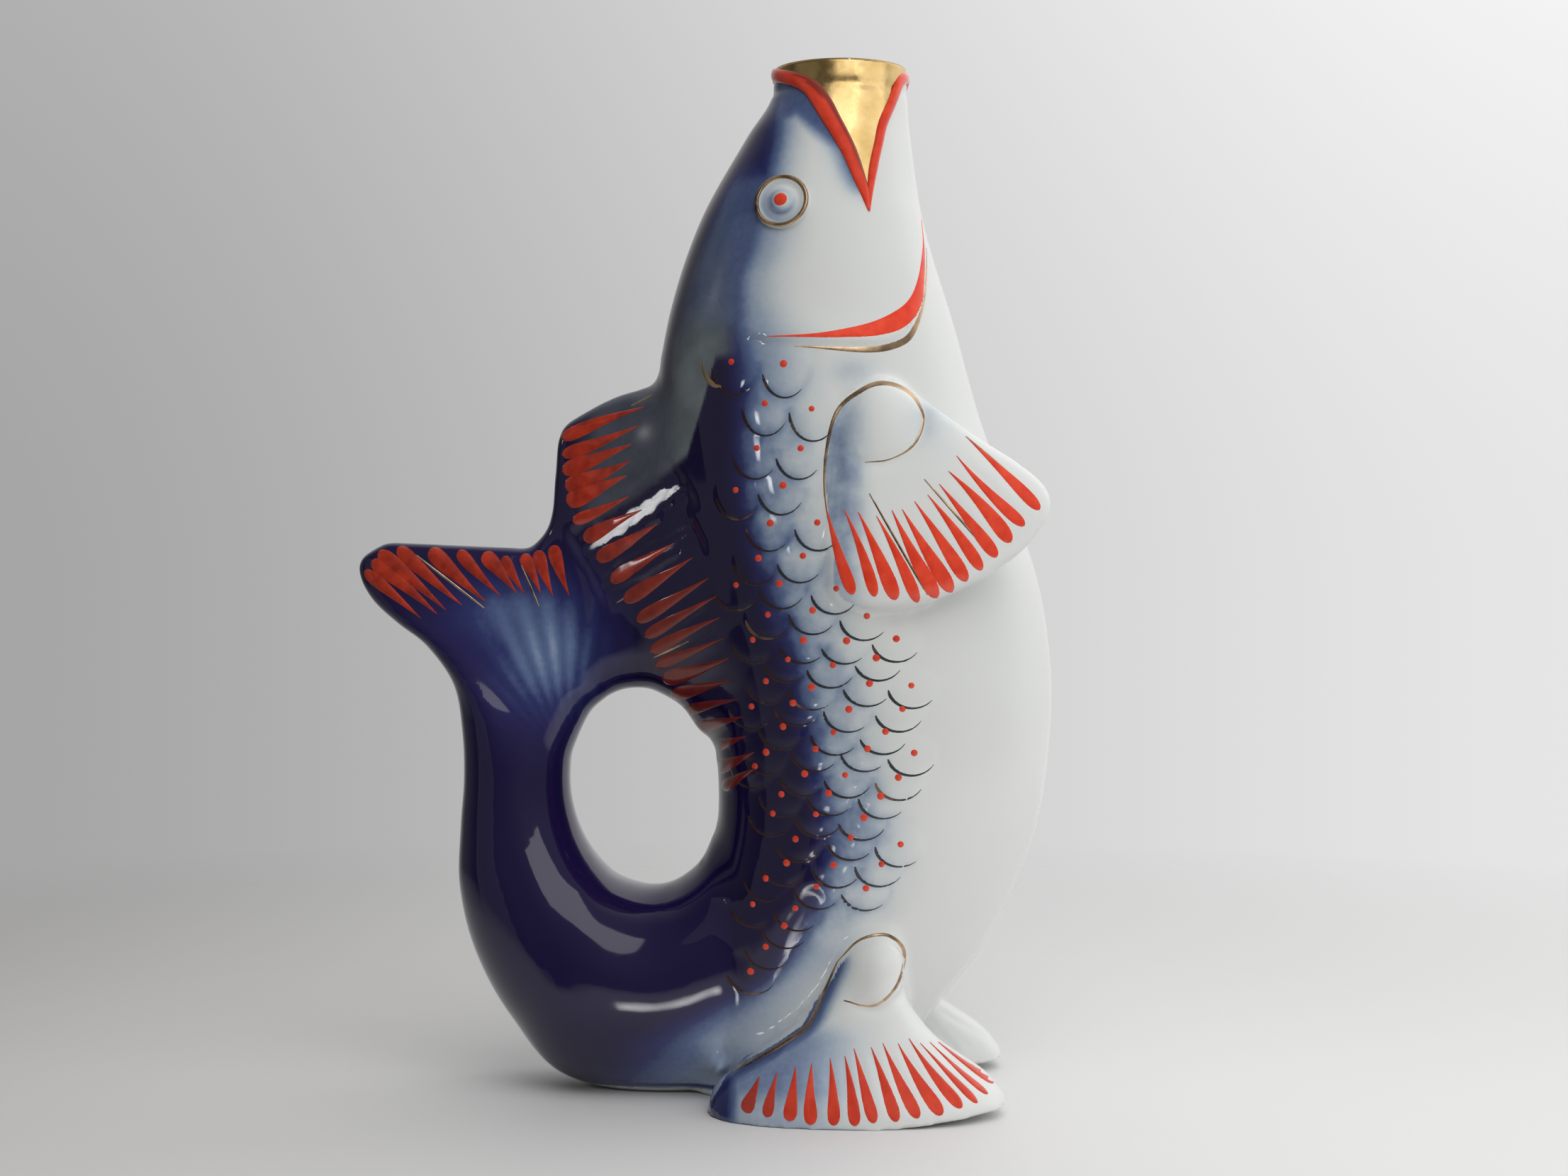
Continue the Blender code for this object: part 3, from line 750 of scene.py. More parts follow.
# Where the cobalt is about half strong on the flank: height and x
COBALT_EDGE = (
    (0, -20), (6, -14), (10, -9.5), (14, -6), (18, -2), (22, 2), (26, 5.5), (30, 9.5), (35, 14.5),
    (40, 17.5), (46, 20), (52, 23), (60, 24.5), (70, 24), (80, 22.5), (90, 19.5), (100, 18.5),
    (110, 15.5), (120, 12), (130, 9), (140, 6), (150, 4.5), (170, 4.5), (178, 4), (188, 1), (200, 1),
    (206, 3.5), (212, 5), (218, 6.5), (224, 8.5), (230, 9.5), (236, 10.5), (255, 11),
)
# Rear edge of the flank fin: height and x
PECTORAL_REAR = ((131, 27.1), (144.1, 24.3), (152.8, 23.8), (161.7, 24.9), (167.8, 27.2), (172.2, 32.0))
# Rear edge of the foot fin, as x and z
PELVIC_EDGE = ((26.8, 36.2), (23.6, 29.0), (19.9, 21.6), (13.6, 17.0), (7.0, 13.2), (2.0, 10.4))
# Centre lines of the lips in side view, from the corner of the mouth to the rim, with half width and height
LIP_OVER = 1.2
UPPER_LIP = (
    (33.9, 216.3, 0.3, 0.3), (32.1, 223.0, 1.5, 0.7), (28.1, 233.0, 1.9, 0.9),
    (22.4, 243.3, 2.0, 0.95), (16.3, 249.6, 1.8, 0.9), (9.3, 254.0, 1.6, 0.8),
)
LOWER_LIP = (
    (33.9, 216.3, 0.3, 0.3), (34.6, 225.8, 1.15, 0.7), (35.9, 233.0, 1.25, 0.8),
    (37.6, 240.5, 1.4, 0.85), (41.0, 250.0, 1.5, 0.85), (42.4, 252.6, 1.4, 0.8),
)


def inside_wall(points):
    """Which points lie on the wall inside the trunk."""
    x, y, z = points.T
    middle, a, b = trunk_at(z)
    return ((x - middle) / a) ** 2 + (y / b) ** 2 < INSIDE_SHARE**2


def cobalt_amount(points, scales):
    """How much cobalt glaze lies at each point, 0 to 1."""
    x, y, z = points.T
    side = points[:, [0, 2]]
    # Sprayed edge down the flank, softer low down, and weaker behind the eye
    edge = read_off(COBALT_EDGE, z)
    low = fade(12, 32, z)
    amount = 0.55 * fade(edge - 6 - 20 * low, edge + 6, x)
    spray = 26 + 14 * low - 8 * smooth(184, 196, z) - 6 * smooth(212, 226, z)
    amount += 0.45 * fade(edge - 2, edge + spray, x)
    beside = smooth(0.45, 0.7, np.abs(y) / trunk_at(z)[2])
    most = 1 - 0.40 * smooth(182, 191, z) * (1 - 0.7 * smooth(222, 231, z)) * beside
    amount = np.minimum(amount, most)
    # Darker round each scale
    gap = trunk_gap(points)
    scaly = smooth(30, 45, z) * fade(174, 188, z) * fade(2, 4, np.abs(gap))
    dome, rim = scale_field(side, scales)
    mixed = np.clip(6 * amount * (1 - amount), 0, 1)
    amount += scaly * mixed * (0.08 * rim - 0.05 * dome)
    # Over the upper lip and behind the rim
    lip = path_distance(side, along([r[:2] for r in UPPER_LIP[1:-1]], 24))
    behind = x < x_at(UPPER_LIP[:-1], z)
    amount = np.maximum(amount, 0.55 * hump(lip, 0, 4.2) * smooth(213, 226, z) * behind)
    collar = z + np.where(x > 16, 0.9, -0.5) * (x - 16)
    amount = np.maximum(amount, 0.58 * smooth(236, 243, collar) * behind * (z > 222))
    # Thin on the tail fan, and paler towards its top
    patch, rays = fan_patch(side)
    amount -= (0.52 + 0.08 * rays) * patch
    amount -= 0.34 * hump(x, -59, 15) * hump(z, 119, 8) * (1 - patch)
    # Flank fin: white, tinted at its root and its rear edge
    fin = smooth(1, 3, gap)
    rear = read_off(PECTORAL_REAR, z)
    flipper = np.where((x > rear) & (z > 131) & (z < 173) & (x < 44), 1, fin * (z > 100) * (x > 12))
    root = 0.22 + 0.15 * smooth(122, 138, z) * fade(164, 172, z)
    amount = np.where(flipper > 0.5, root * fade(27.5, 37, x), amount)
    amount = np.maximum(amount, 0.15 * flipper * hump(x, 50, 7) * hump(z, 166, 8))
    amount = np.maximum(amount, 0.17 * hump(x, 30, 6) * hump(z, 177, 4))
    # Foot fin, and a paler flank beside it
    foot_rear = x_at(PELVIC_EDGE[::-1], z) - 1 - 0.6 * np.maximum(0, 10 - z)
    foot = fin * smooth(24, 27, np.abs(y)) * fade(44, 50, z) * (x > foot_rear)
    margin = path_distance(side, along(PELVIC_EDGE, 30))
    amount -= 0.11 * hump(margin, 7, 8) * smooth(10, 16, z) * (foot < 0.5)
    tint = 0.45 * fade(14, 42, x) * fade(18, 26, z) * (0.62 + 0.38 * smooth(4, 9, z))
    tint = np.maximum(tint, 0.78 * fade(0, 8, x))
    amount = np.where(foot > 0.5, np.maximum(tint, 0.66 * hump(margin, 0, 3.0)), amount)
    # Dark line where the glaze ends above the bare base
    glaze_edge = (x < 22) & (foot < 0.5)
    amount = np.maximum(amount, 0.85 * hump(z, 2.6, 0.8) * glaze_edge)
    amount = np.where((z < 1.6) & glaze_edge, 0.05, amount)
    return np.where(inside_wall(points), 0.03, np.clip(amount, 0, 1))


# Lower edge of the thin glaze on the back, where its painted reflection starts: x and height
THIN_GLAZE_SHEEN_EDGE = ((-46, 135), (-40.2, 137.9), (-23.4, 146.9), (-10.4, 156.6), (-6.6, 167.9), (-3, 180))


def thin_amount(points, normals):
    """How much the glaze is thin and greenish at each point, 0 to 1; the greenish grey is partly a painted
    reflection.
    """
    x, y, z = points.T
    crest = read_off(THIN_GLAZE_SHEEN_EDGE, x)
    ends = smooth(-42, -34, x) * fade(-4, 4, x)
    ends *= 1 - 0.6 * smooth(182, 198, z) - 0.4 * smooth(200, 225, z)
    # Painted reflection: the greenish sheen stays only where the surface faces the side, leaving the back's
    # edge dark
    deep = (0.4 + 0.6 * smooth(-20, -9, x)) * smooth(0.4, 0.68, np.abs(normals[:, 1]))
    return smooth(-0.5, 2.5, z - crest) * ends * deep * ~inside_wall(points)


def cloud_amount(points):
    """How blotchy the sprayed cobalt is at each point: most among the scales."""
    x, _, z = points.T
    return 0.12 + 0.88 * smooth(34, 48, z) * fade(158, 180, z) * smooth(-28, -14, x)


def keep_floats(mesh, **layers):
    """Store named values for each vertex."""
    for name, values in layers.items():
        mesh.attributes.new(name, "FLOAT", "POINT").data.foreach_set("value", values.astype(np.float32))


def mouth_faces(mesh):
    """Which faces of the skin are gold: between the lips, on the rim, and a little way inside."""
    centres = values_of(mesh.polygons, "center") / MM
    x, _, z = centres.T
    upward = values_of(mesh.polygons, "normal")[:, 2]
    upper = along([r[:2] for r in UPPER_LIP[:-1]], 40)
    lower = along([r[:2] for r in LOWER_LIP], 40)
    left, right = x_at(upper, z), x_at(lower, z)
    outside = ~inside_wall(centres)
    between = outside & (z > UPPER_LIP[0][1]) & (x > left) & (x < right)
    over_lip = read_off(UPPER_LIP[:-3:-1], x)
    under_lip = read_off(LOWER_LIP[-2:], x)
    between |= outside & (z > np.where(x < trunk_at(z)[0], over_lip, under_lip))
    top = (z > RIM - 1.2) & (upward > 0.5)
    throat = ~outside & (z > RIM - 12) & (upward < 0.8)
    return between | top | throat


def split_skin(skin):
    """Part the skin where the clay pieces were joined, so that each piece stands for its own solid."""
    points = points_of(skin)
    normals = normals_of(skin)
    away = []
    for name in PIECES:
        tree = search_tree(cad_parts[name].data)
        away.append([tree.find_nearest(p)[3] for p in points * MM])
    away = np.array(away).T
    mean = neighbour_mean(skin)
    for _ in range(PARTING_STEPS):
        away = mean(away)
    sizes = values_of(skin.polygons, "loop_total", 1, np.int32)[:, 0]
    corners = values_of(skin.loops, "vertex_index", 1, np.int32)[:, 0]
    starts = np.concatenate([[0], np.cumsum(sizes)[:-1]])
    share = np.add.reduceat(away[corners], starts) / sizes[:, None]
    label = share.argmin(1)
    label[mouth_faces(skin)] = len(PIECES)
    pieces = {}
    for index, name in enumerate([*PIECES, "mouth"]):
        faces = np.flatnonzero(label == index)
        picked = [corners[starts[f] : starts[f] + sizes[f]] for f in faces]
        used, flat = np.unique(np.concatenate(picked), return_inverse=True)
        cuts = np.cumsum(sizes[faces])[:-1]
        mesh = new_mesh(name + "_skin", points[used], np.split(flat, cuts))
        mesh.normals_split_custom_set_from_vertices([tuple(n) for n in normals[used]])
        pieces[name] = new_object(name + "_skin", mesh)
    return pieces


def dress(obj, material, slot, node=None):
    """Give a piece its material, and its place in the part."""
    obj.data.materials.append(material)
    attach(obj, "root")
    if node:
        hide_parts(node)


class Marks:
    """Thin raised marks on the skin, gathered into one mesh."""

    ACROSS = (-1, -0.75, -0.3, 0.3, 0.75, 1)
    SUNK = 0.05
    JUMP = 2.2

    def __init__(self, tree):
        self.tree = tree
        self.verts = []
        self.faces = []

    def cast(self, start, way):
        """Place and normal of the skin that lies this way from a start, and how far off it is."""
        place, normal, _, far = self.tree.ray_cast(Vector(start) * MM, Vector(way))
        return None if place is None else (np.array(place) / MM, np.array(normal), far / MM)

    def from_side(self, side):
        """Finds the skin straight in from the side, at x and z."""
        return lambda x, z: self.cast((x, side * SIDE_SEARCH, z), (0, -side, 0))

    def on_trunk(self, side, clear=2.4):
        """Finds the skin square to the trunk, at x and z, and nothing where a fin is in the way."""

        def hit(x, z):
            point, out = trunk_surface(side * trunk_turn(x, z), z)
            found = self.cast(point[0] + out[0] * TRUNK_SEARCH, -out[0])
            return None if found is None or abs(found[2] - TRUNK_SEARCH) > clear else found

        return hit

    def raised(self, found, lift):
        """A place on the skin, lifted off it; a mark starts a little under the skin."""
        return None if found is None else found[0] + found[1] * (lift - self.SUNK)

    def grid(self, rows):
        """Faces between rows of points; a point that is None leaves a gap."""
        index = []
        for row in rows:
            line = []
            for point in row:
                line.append(None if point is None else len(self.verts))
                if point is not None:
                    self.verts.append(point)
            index.append(line)
        for low, high in zip(index, index[1:]):
            for face in zip(low, low[1:], high[1:], high):
                if None not in face and np.ptp([self.verts[i][1] for i in face]) < self.JUMP:
                    self.faces.append(face)

    def stroke(self, hit, line, half_widths, lift):
        """A mark along a line of x and z."""
        line = np.asarray(line, float)
        run = np.gradient(line, axis=0)
        square = np.stack([-run[:, 1], run[:, 0]], 1) / np.linalg.norm(run, axis=1)[:, None]
        self.grid(
            [self.raised(hit(*(centre + normal * half * t)), lift * (1 - t**4)) for t in self.ACROSS]
            for centre, normal, half in zip(line, square, half_widths)
        )

    def brush(self, hit, tip, end, half_width, bend=0.0, lift=0.2):
        """A stroke with a pointed tip that swells towards a round end."""
        s = 1 - (1 - np.linspace(0.02, 1, 20)) ** 1.5 * 0.98
        run = np.asarray(end) - np.asarray(tip)
        square = np.array((-run[1], run[0]))
        line = np.asarray(tip) + s[:, None] * run + (bend * 4 * s * (1 - s))[:, None] * square
        self.stroke(hit, line, 1.3 * half_width * s**1.1 * np.sqrt(np.maximum(1 - s**8, 0.0004)), lift)

    def dot(self, hit, x, z, radius, lift=0.3):
        """A small round drop."""
        turns = np.linspace(0, 2 * math.pi, 15)
        rows = []
        for share in (0.02, 0.5, 0.85, 1.0):
            ring = [hit(x + radius * share * math.cos(t), z + radius * share * math.sin(t)) for t in turns]
            rows.append([self.raised(found, lift * (1 - share**2)) for found in ring])
        self.grid(rows)

    def place(self, name, material, slot):
        """The finished marks as a piece of the carafe."""
        used = sorted({i for face in self.faces for i in face})
        place = {old: new for new, old in enumerate(used)}
        faces = [[place[i] for i in face] for face in self.faces]
        obj = new_object(name, new_mesh(name, [self.verts[i] for i in used], faces))
        dress(obj, material, slot)
        return obj


def lip_tube(name, guide, corner_turn):
    """A lip from one corner of the mouth round the rim to the other."""
    guide = np.array(guide, float)
    turn = trunk_turn(guide[:, 0], guide[:, 1])
    turn[-1] = corner_turn
    rows = along(np.column_stack([turn, guide[:, 1:]]), 60)
    twin = rows[-2::-1].copy()
    twin[:, 0] = 2 * corner_turn - twin[:, 0]
    rows = np.concatenate([rows, twin])
    _, a, b = trunk_at(rows[:, 1])
    speed = np.hypot(a * np.sin(rows[:, 0]), b * np.cos(rows[:, 0]))
    run = np.stack([np.gradient(rows[:, 0]) * speed, np.gradient(rows[:, 1])], 1)
    run /= np.linalg.norm(run, axis=1)[:, None]
    turns = np.linspace(0, 2 * math.pi, 20, endpoint=False)
    rings = []
    for (t, z, half, high), (u, v), pace in zip(rows, run, speed):
        out = half * np.cos(turns)
        rise = np.where(np.sin(turns) > 0, high * np.sin(turns), 0.5 * np.sin(turns))
        point, normal = trunk_surface(-(t + out * -v / pace), np.minimum(z + out * u, RIM + LIP_OVER))
        rings.append(point + normal * rise[:, None])
    mesh = finished(loft(rings), name)
    shade_smooth(mesh)
    return new_object(name, mesh)


EYE = (13.0, 218.2)
EYE_OUTLINE = (
    (0.0, 1.8), (1.2, 1.75), (2.4, 1.5), (3.3, 1.1), (3.9, 0.75), (4.4, 0.6), (5.0, 0.65), (5.6, 0.85),
    (6.2, 0.85), (6.7, 0.4), (6.9, -0.3), (6.9, -1.6),
)
EYE_RING = tuple(
    (6.2 + 0.6 * math.cos(t), 0.72 + 0.42 * math.sin(t)) for t in np.linspace(0, 2 * math.pi, 13)
)
PUPIL = tuple((1.8 * math.sin(t), 1.35 + 0.75 * math.cos(t)) for t in np.linspace(0, math.pi / 2, 8))


def eye_turning(name, outline, side, segments=64):
    """Turned piece of an eye, standing on the head."""
    x, z = EYE
    step = 1.0
    slope_x = (flank(x + step, z) - flank(x - step, z)) / (2 * step)
    slope_z = (flank(x, z + step) - flank(x, z - step)) / (2 * step)
    out = np.array((-slope_x, side, -slope_z))
    out /= np.linalg.norm(out)
    ahead = np.cross((0, 0, 1), out)
    ahead /= np.linalg.norm(ahead)
    over = np.cross(out, ahead)
    seat = np.array((x, side * flank(x, z), z))
    verts, faces = [], []
    count = len(outline)
    for turn in np.linspace(0, 2 * math.pi, segments, endpoint=False):
        for radius, rise in outline:
            verts.append(seat + radius * (ahead * math.cos(turn) + over * math.sin(turn)) + out * rise)
    for i in range(segments):
        j = (i + 1) % segments
        for k in range(count - 1):
            faces.append((i * count + k, i * count + k + 1, j * count + k + 1, j * count + k))
    obj = new_object(name, new_mesh(name, verts, faces))
    bm = bmesh.new()
    bm.from_mesh(obj.data)
    bmesh.ops.remove_doubles(bm, verts=bm.verts, dist=0.0005 * MM)
    bmesh.ops.recalc_face_normals(bm, faces=bm.faces)
    bm.to_mesh(obj.data)
    bm.free()
    return obj


class Nodes:
    """Short way to build the nodes of a material or of the world."""

    def __init__(self, owner):
        owner.use_nodes = True
        self.owner = owner
        self.tree = owner.node_tree
        self.shader = self.tree.nodes.get("Principled BSDF")

    def give(self, socket, value):
        """Link a socket to another, or set its value."""
        if isinstance(value, bpy.types.NodeSocket):
            self.tree.links.new(value, socket)
        else:
            socket.default_value = value

    def add(self, kind, inputs=(), **settings):
        node = self.tree.nodes.new("ShaderNode" + kind)
        for key, value in settings.items():
            setattr(node, key, value)
        for key, value in dict(inputs).items():
            self.give(node.inputs[key], value)
        return node

    def noise(self, scale, detail=3.0, rough=0.55):
        place = self.add("TexCoord").outputs["Object"]
        return self.add(
            "TexNoise", {"Vector": place, "Scale": scale, "Detail": detail, "Roughness": rough}
        ).outputs["Fac"]

    def ramp(self, value, stops):
        ramp = self.add("ValToRGB", {"Fac": value})
        elements = ramp.color_ramp.elements
        while len(elements) < len(stops):
            elements.new(0.5)
        for element, (place, colour) in zip(elements, stops):
            element.position = place
            element.color = (*colour, 1.0)
        return ramp.outputs["Color"]

    def vary(self, scale, low, high):
        """A value that varies from place to place; low and high pair a noise level with the value there."""
        return self.ramp(self.noise(scale), [(place, (value,) * 3) for place, value in (low, high)])

    def math(self, operation, a, b):
        return self.add("Math", {0: a, 1: b}, operation=operation).outputs[0]

    def mix(self, share, a, b):
        return self.add("Mix", {0: share, 6: a, 7: b}, data_type="RGBA").outputs[2]

    def read(self, name):
        return self.add("Attribute", attribute_name=name).outputs["Fac"]

    def wire(self, socket, value):
        self.give(self.shader.inputs[socket], value)

    def bump(self, height, strength, distance):
        node = self.add("Bump", {"Height": height, "Strength": strength, "Distance": distance})
        self.wire("Normal", node.outputs["Normal"])


def glaze_material():
    """White porcelain with cobalt sprayed on under a clear glaze."""
    n = Nodes(bpy.data.materials.new("glazed_porcelain"))
    amount = n.read("cobalt")
    cloud = n.math("MULTIPLY", n.math("SUBTRACT", n.noise(130, 3.0, 0.5), 0.5), n.read("cloud"))
    speck = n.math("SUBTRACT", n.noise(700, 2.0, 0.5), 0.5)
    spread = n.math("MULTIPLY", n.math("MULTIPLY", amount, n.math("SUBTRACT", 1.0, amount)), 2.6)
    mottle = n.math("ADD", cloud, n.math("MULTIPLY", speck, 0.12))
    blue = n.math("ADD", amount, n.math("MULTIPLY", mottle, spread))
    colour = n.ramp(
        blue,
        (
            (0.0, (0.735, 0.747, 0.727)),
            (0.12, (0.61, 0.65, 0.66)),
            (0.30, (0.335, 0.405, 0.505)),
            (0.50, (0.112, 0.163, 0.30)),
            (0.72, (0.024, 0.032, 0.125)),
            (0.86, (0.015, 0.013, 0.08)),
            (1.0, (0.009, 0.005, 0.038)),
        ),
    )
    # Greenish grey of the thin glaze on the back, partly a painted reflection of a bright wall
    thin = n.ramp(n.noise(120, 3.0), ((0.3, (0.09, 0.11, 0.122)), (0.7, (0.16, 0.19, 0.20))))
    n.wire("Base Color", n.mix(n.read("thin"), colour, thin))
    dull = n.math("MULTIPLY", n.read("thin"), 0.45)
    n.wire("Roughness", n.math("ADD", n.vary(90, (0.3, 0.05), (0.75, 0.09)), dull))
    n.wire("Coat Weight", 0.3)
    n.wire("Coat Roughness", n.math("ADD", dull, 0.03))
    n.bump(n.noise(70, 2.0), 0.15, 0.0004)
    return n.owner


def red_material(name, deep, light, edge=None):
    """Red enamel, thicker and darker in places, mixed towards another colour by a share the mesh stores as
    its edge; on the upper lip and the foot fin strokes that darker red is painted shade.
    """
    n = Nodes(bpy.data.materials.new(name))
    colour = n.ramp(n.noise(260, 3.0), ((0.32, deep), (0.72, light)))
    n.wire("Base Color", n.mix(n.read("edge"), colour, (*edge, 1)) if edge else colour)
    n.wire("Roughness", n.vary(400, (0.3, 0.10), (0.8, 0.22)))
    n.wire("Coat Weight", 0.4)
    n.wire("Coat Roughness", 0.06)
    n.bump(n.noise(300, 2.0), 0.2, 0.0002)
    return n.owner


def gold_material(name, dark, light, roughness):
    """Fired gold, a little worn."""
    n = Nodes(bpy.data.materials.new(name))
    n.wire("Base Color", n.ramp(n.noise(110, 4.0, 0.6), ((0.3, dark), (0.6, light))))
    n.wire("Metallic", 1.0)
    n.wire("Roughness", n.vary(500, (0.3, roughness * 0.7), (0.75, roughness * 1.5)))
    n.bump(n.noise(160, 3.0), 0.15, 0.0003)
    return n.owner


def line_material():
    """Thin lustre line: dark on white, coppery on cobalt, with brighter copper patches here and there that
    are painted glints.
    """
    n = Nodes(bpy.data.materials.new("scale_lustre"))
    over = n.ramp(n.read("cobalt"), ((0.3, (0.055, 0.065, 0.072)), (0.75, (0.05, 0.022, 0.02))))
    # Painted glints: random patches of the line turn bright copper
    painted_glints = n.ramp(n.noise(120, 2.0), ((0.6, (0, 0, 0)), (0.75, (1, 1, 1))))
    n.wire("Base Color", n.mix(painted_glints, over, (0.30, 0.17, 0.10, 1)))
    n.wire("Metallic", 0.4)
    n.wire("Roughness", n.vary(500, (0.3, 0.2), (0.8, 0.35)))
    return n.owner


scales = scale_places()
skin = raw_skin()
add_relief(skin, scales)
skin = hollow_out(skin)
shade_smooth(skin)
tree = search_tree(skin)
glaze = glaze_material()
RED = ((0.70, 0.040, 0.014), (0.86, 0.075, 0.030))
red = red_material("red_enamel", *RED)
# Red whose darker colour is painted shade, on the upper lip and the foot fin strokes
red_with_painted_shade = red_material("lip_enamel", *RED, (0.26, 0.030, 0.020))
red_on_blue = red_material(
    "red_enamel_on_cobalt", (0.25, 0.017, 0.007), (0.52, 0.040, 0.014), (0.10, 0.010, 0.006)
)
gold = gold_material("gold_lustre", (0.66, 0.44, 0.17), (0.80, 0.575, 0.26), 0.24)
gold_thin = gold_material("gold_line", (0.13, 0.085, 0.06), (0.80, 0.56, 0.34), 0.30)
lustre = line_material()

for name, obj in split_skin(skin).items():
    if name == "mouth":
        dress(obj, gold, "gold_lustre")
        continue
    points = points_of(obj.data)
    thin = thin_amount(points, normals_of(obj.data))
    keep_floats(obj.data, cloud=cloud_amount(points), cobalt=cobalt_amount(points, scales), thin=thin)
    dress(obj, glaze, PIECES[name], name)

for name, guide, end in (("upper_lip", UPPER_LIP, math.pi), ("lower_lip", LOWER_LIP, 0.0)):
    lip = lip_tube(name + "_enamel", guide, end)
    x, _, z = points_of(lip.data).T
    # Painted shade: darker red along the upper lip's side next to the gold, where the bead steps down to it
    inner = smooth(0.8, 1.5, x - x_at(UPPER_LIP, z)) * smooth(219, 224, z) * (end > 0)
    keep_floats(lip.data, edge=inner)
    dress(lip, red_with_painted_shade, "red_enamel", name)

for side, word in ((NEAR, "right"), (FAR, "left")):
    eye = eye_turning("eye_" + word + "_button", EYE_OUTLINE, side)
    # Cobalt in the button's rings, stronger below and behind
    x, _, z = points_of(eye.data).T
    reach = np.hypot(x - EYE[0], z - EYE[1])
    lower_rear = (EYE[0] - x + EYE[1] - z) / np.maximum(reach, 0.1)
    tint = 0.06 + (0.28 + 0.12 * lower_rear) * hump(reach, 2.7, 0.9)
    tint += (0.14 + 0.12 * lower_rear) * hump(reach, 4.7, 0.8)
    keep_floats(eye.data, cobalt=np.clip(tint, 0, 1), thin=0 * tint, cloud=0 * tint)
    dress(eye, glaze, "porcelain", "eye_" + word)
    for part, outline, material, slot in (
        ("ring", EYE_RING, gold_thin, "gold_lustre"),
        ("pupil", PUPIL, red, "red_enamel"),
    ):
        dress(eye_turning("eye_" + word + "_" + part, outline, side), material, slot)

# Foot fin strokes that are whole, and that both sides have
PELVIC_WHOLE = 11
PELVIC_BOTH = 12
for name, row, material in (
    ("pectoral_strokes", PECTORAL_ROW, red),
    ("pelvic_strokes", PELVIC_ROW, red_with_painted_shade),
    ("dorsal_strokes", DORSAL_ROW, red_on_blue),
    ("caudal_strokes", CAUDAL_ROW, red_on_blue),
):
    marks = Marks(tree)
    for i, (tip, end) in enumerate(row_lines(row)):
        half = row.half_width * rng.uniform(0.8, 1.15)
        if row is PELVIC_ROW and i >= PELVIC_WHOLE:
            half *= 0.45
        if row in (DORSAL_ROW, CAUDAL_ROW):
            half *= 1.3 if i < 5 else 1.12
        shift = rng.uniform(-0.6, 0.6, 2)
        bend = rng.uniform(-0.03, 0.03)
        for side in SIDES[:1] if row is PELVIC_ROW and i >= PELVIC_BOTH else SIDES:
            marks.brush(marks.from_side(side), tip + shift, end + 0.4 * shift, half, bend)
    strokes = marks.place(name, material, "red_enamel")
    x, _, z = points_of(strokes.data).T
    # The darker red is painted shade on the foot fin strokes, heavier towards the rear; on the web it
    # darkens the strokes below the web's upper part
    edge = 0.75 * fade(105, 150, z) * smooth(-45, -38, x)
    keep_floats(strokes.data, edge=0.25 + 0.5 * fade(4, 22, x) if row is PELVIC_ROW else edge)

ARC_POINTS = 14
ARC_HALF = 0.55
ARC_LIFT = 0.1
DOT_DROP = 0.6
dots = Marks(tree)
arcs = Marks(tree)
for s in scales:
    start, stop = rng.uniform(-88, -72), rng.uniform(40, 62)
    turn = np.radians(np.linspace(start, stop, ARC_POINTS))
    line = np.stack([s.x + s.half_width * np.sin(turn), s.z - SCALE_DROP - s.half_height * np.cos(turn)], 1)
    share = np.linspace(0, 1, ARC_POINTS)
    half = ARC_HALF * np.minimum(1, 0.35 + 6 * share) * (1 - 0.85 * share**1.3)
    radius = rng.uniform(0.78, 1.0)
    off = rng.uniform(-0.8, 0.8)
    for side in SIDES:
        arcs.stroke(arcs.on_trunk(side), line, half, ARC_LIFT)
        dots.dot(dots.on_trunk(side), s.x + off, s.z - DOT_DROP, radius)
dots.place("scale_dots", red, "red_enamel")
lines = arcs.place("scale_lines", lustre, "gold_lustre")
keep_floats(lines.data, cobalt=cobalt_amount(points_of(lines.data), scales))

BAND_LEAST = 0.05
BAND_LIFT = 0.15
LINE_LIFT = 0.12
GILL_BAND = (
    (10.0, 185.2, 0.1), (20.0, 185.3, 0.5), (27.0, 185.8, 1.1), (35.0, 187.1, 2.0), (41.0, 189.7, 2.5),
    (44.5, 194.0, 1.8), (45.9, 200.0, 0.9), (46.4, 208.0, 0.35), (46.3, 216.5, 0.06),
)
GILL_LINE = ((16.4, 182.8), (32.7, 182.0), (40.5, 183.5), (44.6, 187.2), (46.9, 196.4), (47.3, 209.0))
PECTORAL_LINE = (
    (33.5, 154.6), (39.5, 155.3), (44.9, 158.6), (47.2, 164.7), (45.2, 170.0), (41.4, 172.9),
    (36.6, 173.7), (32.0, 171.8), (27.2, 167.8), (24.9, 161.7), (23.8, 152.8), (24.3, 144.1),
    (27.2, 130.5),
)
PELVIC_LINE = (
    (26.8, 36.2), (32.0, 41.4), (38.5, 42.6), (42.5, 38.4), (41.0, 31.2), (35.5, 26.6), (28.5, 27.6),
)
SHOULDER_LINE = ((-6.4, 179.6), (-5.9, 177.1), (-4.6, 175.0), (-3.2, 173.9), (-1.5, 173.5))
FINE_LINES = (
    ((34.6, 147.2), (48.2, 123.4)), ((47.5, 150.5), (63.2, 132.6)), ((57.2, 160.7), (69.7, 149.8)),
    ((-26.1, 170.5), (-20.5, 173.0)), ((-29.2, 121.4), (-20.2, 126.7)),
    ((-19.7, 107.8), (-10.5, 112.0)), ((-80.8, 133.2), (-63.2, 120.0)),
    ((-54.0, 130.7), (-49.3, 120.5)),
)
crescent = Marks(tree)
outline = Marks(tree)
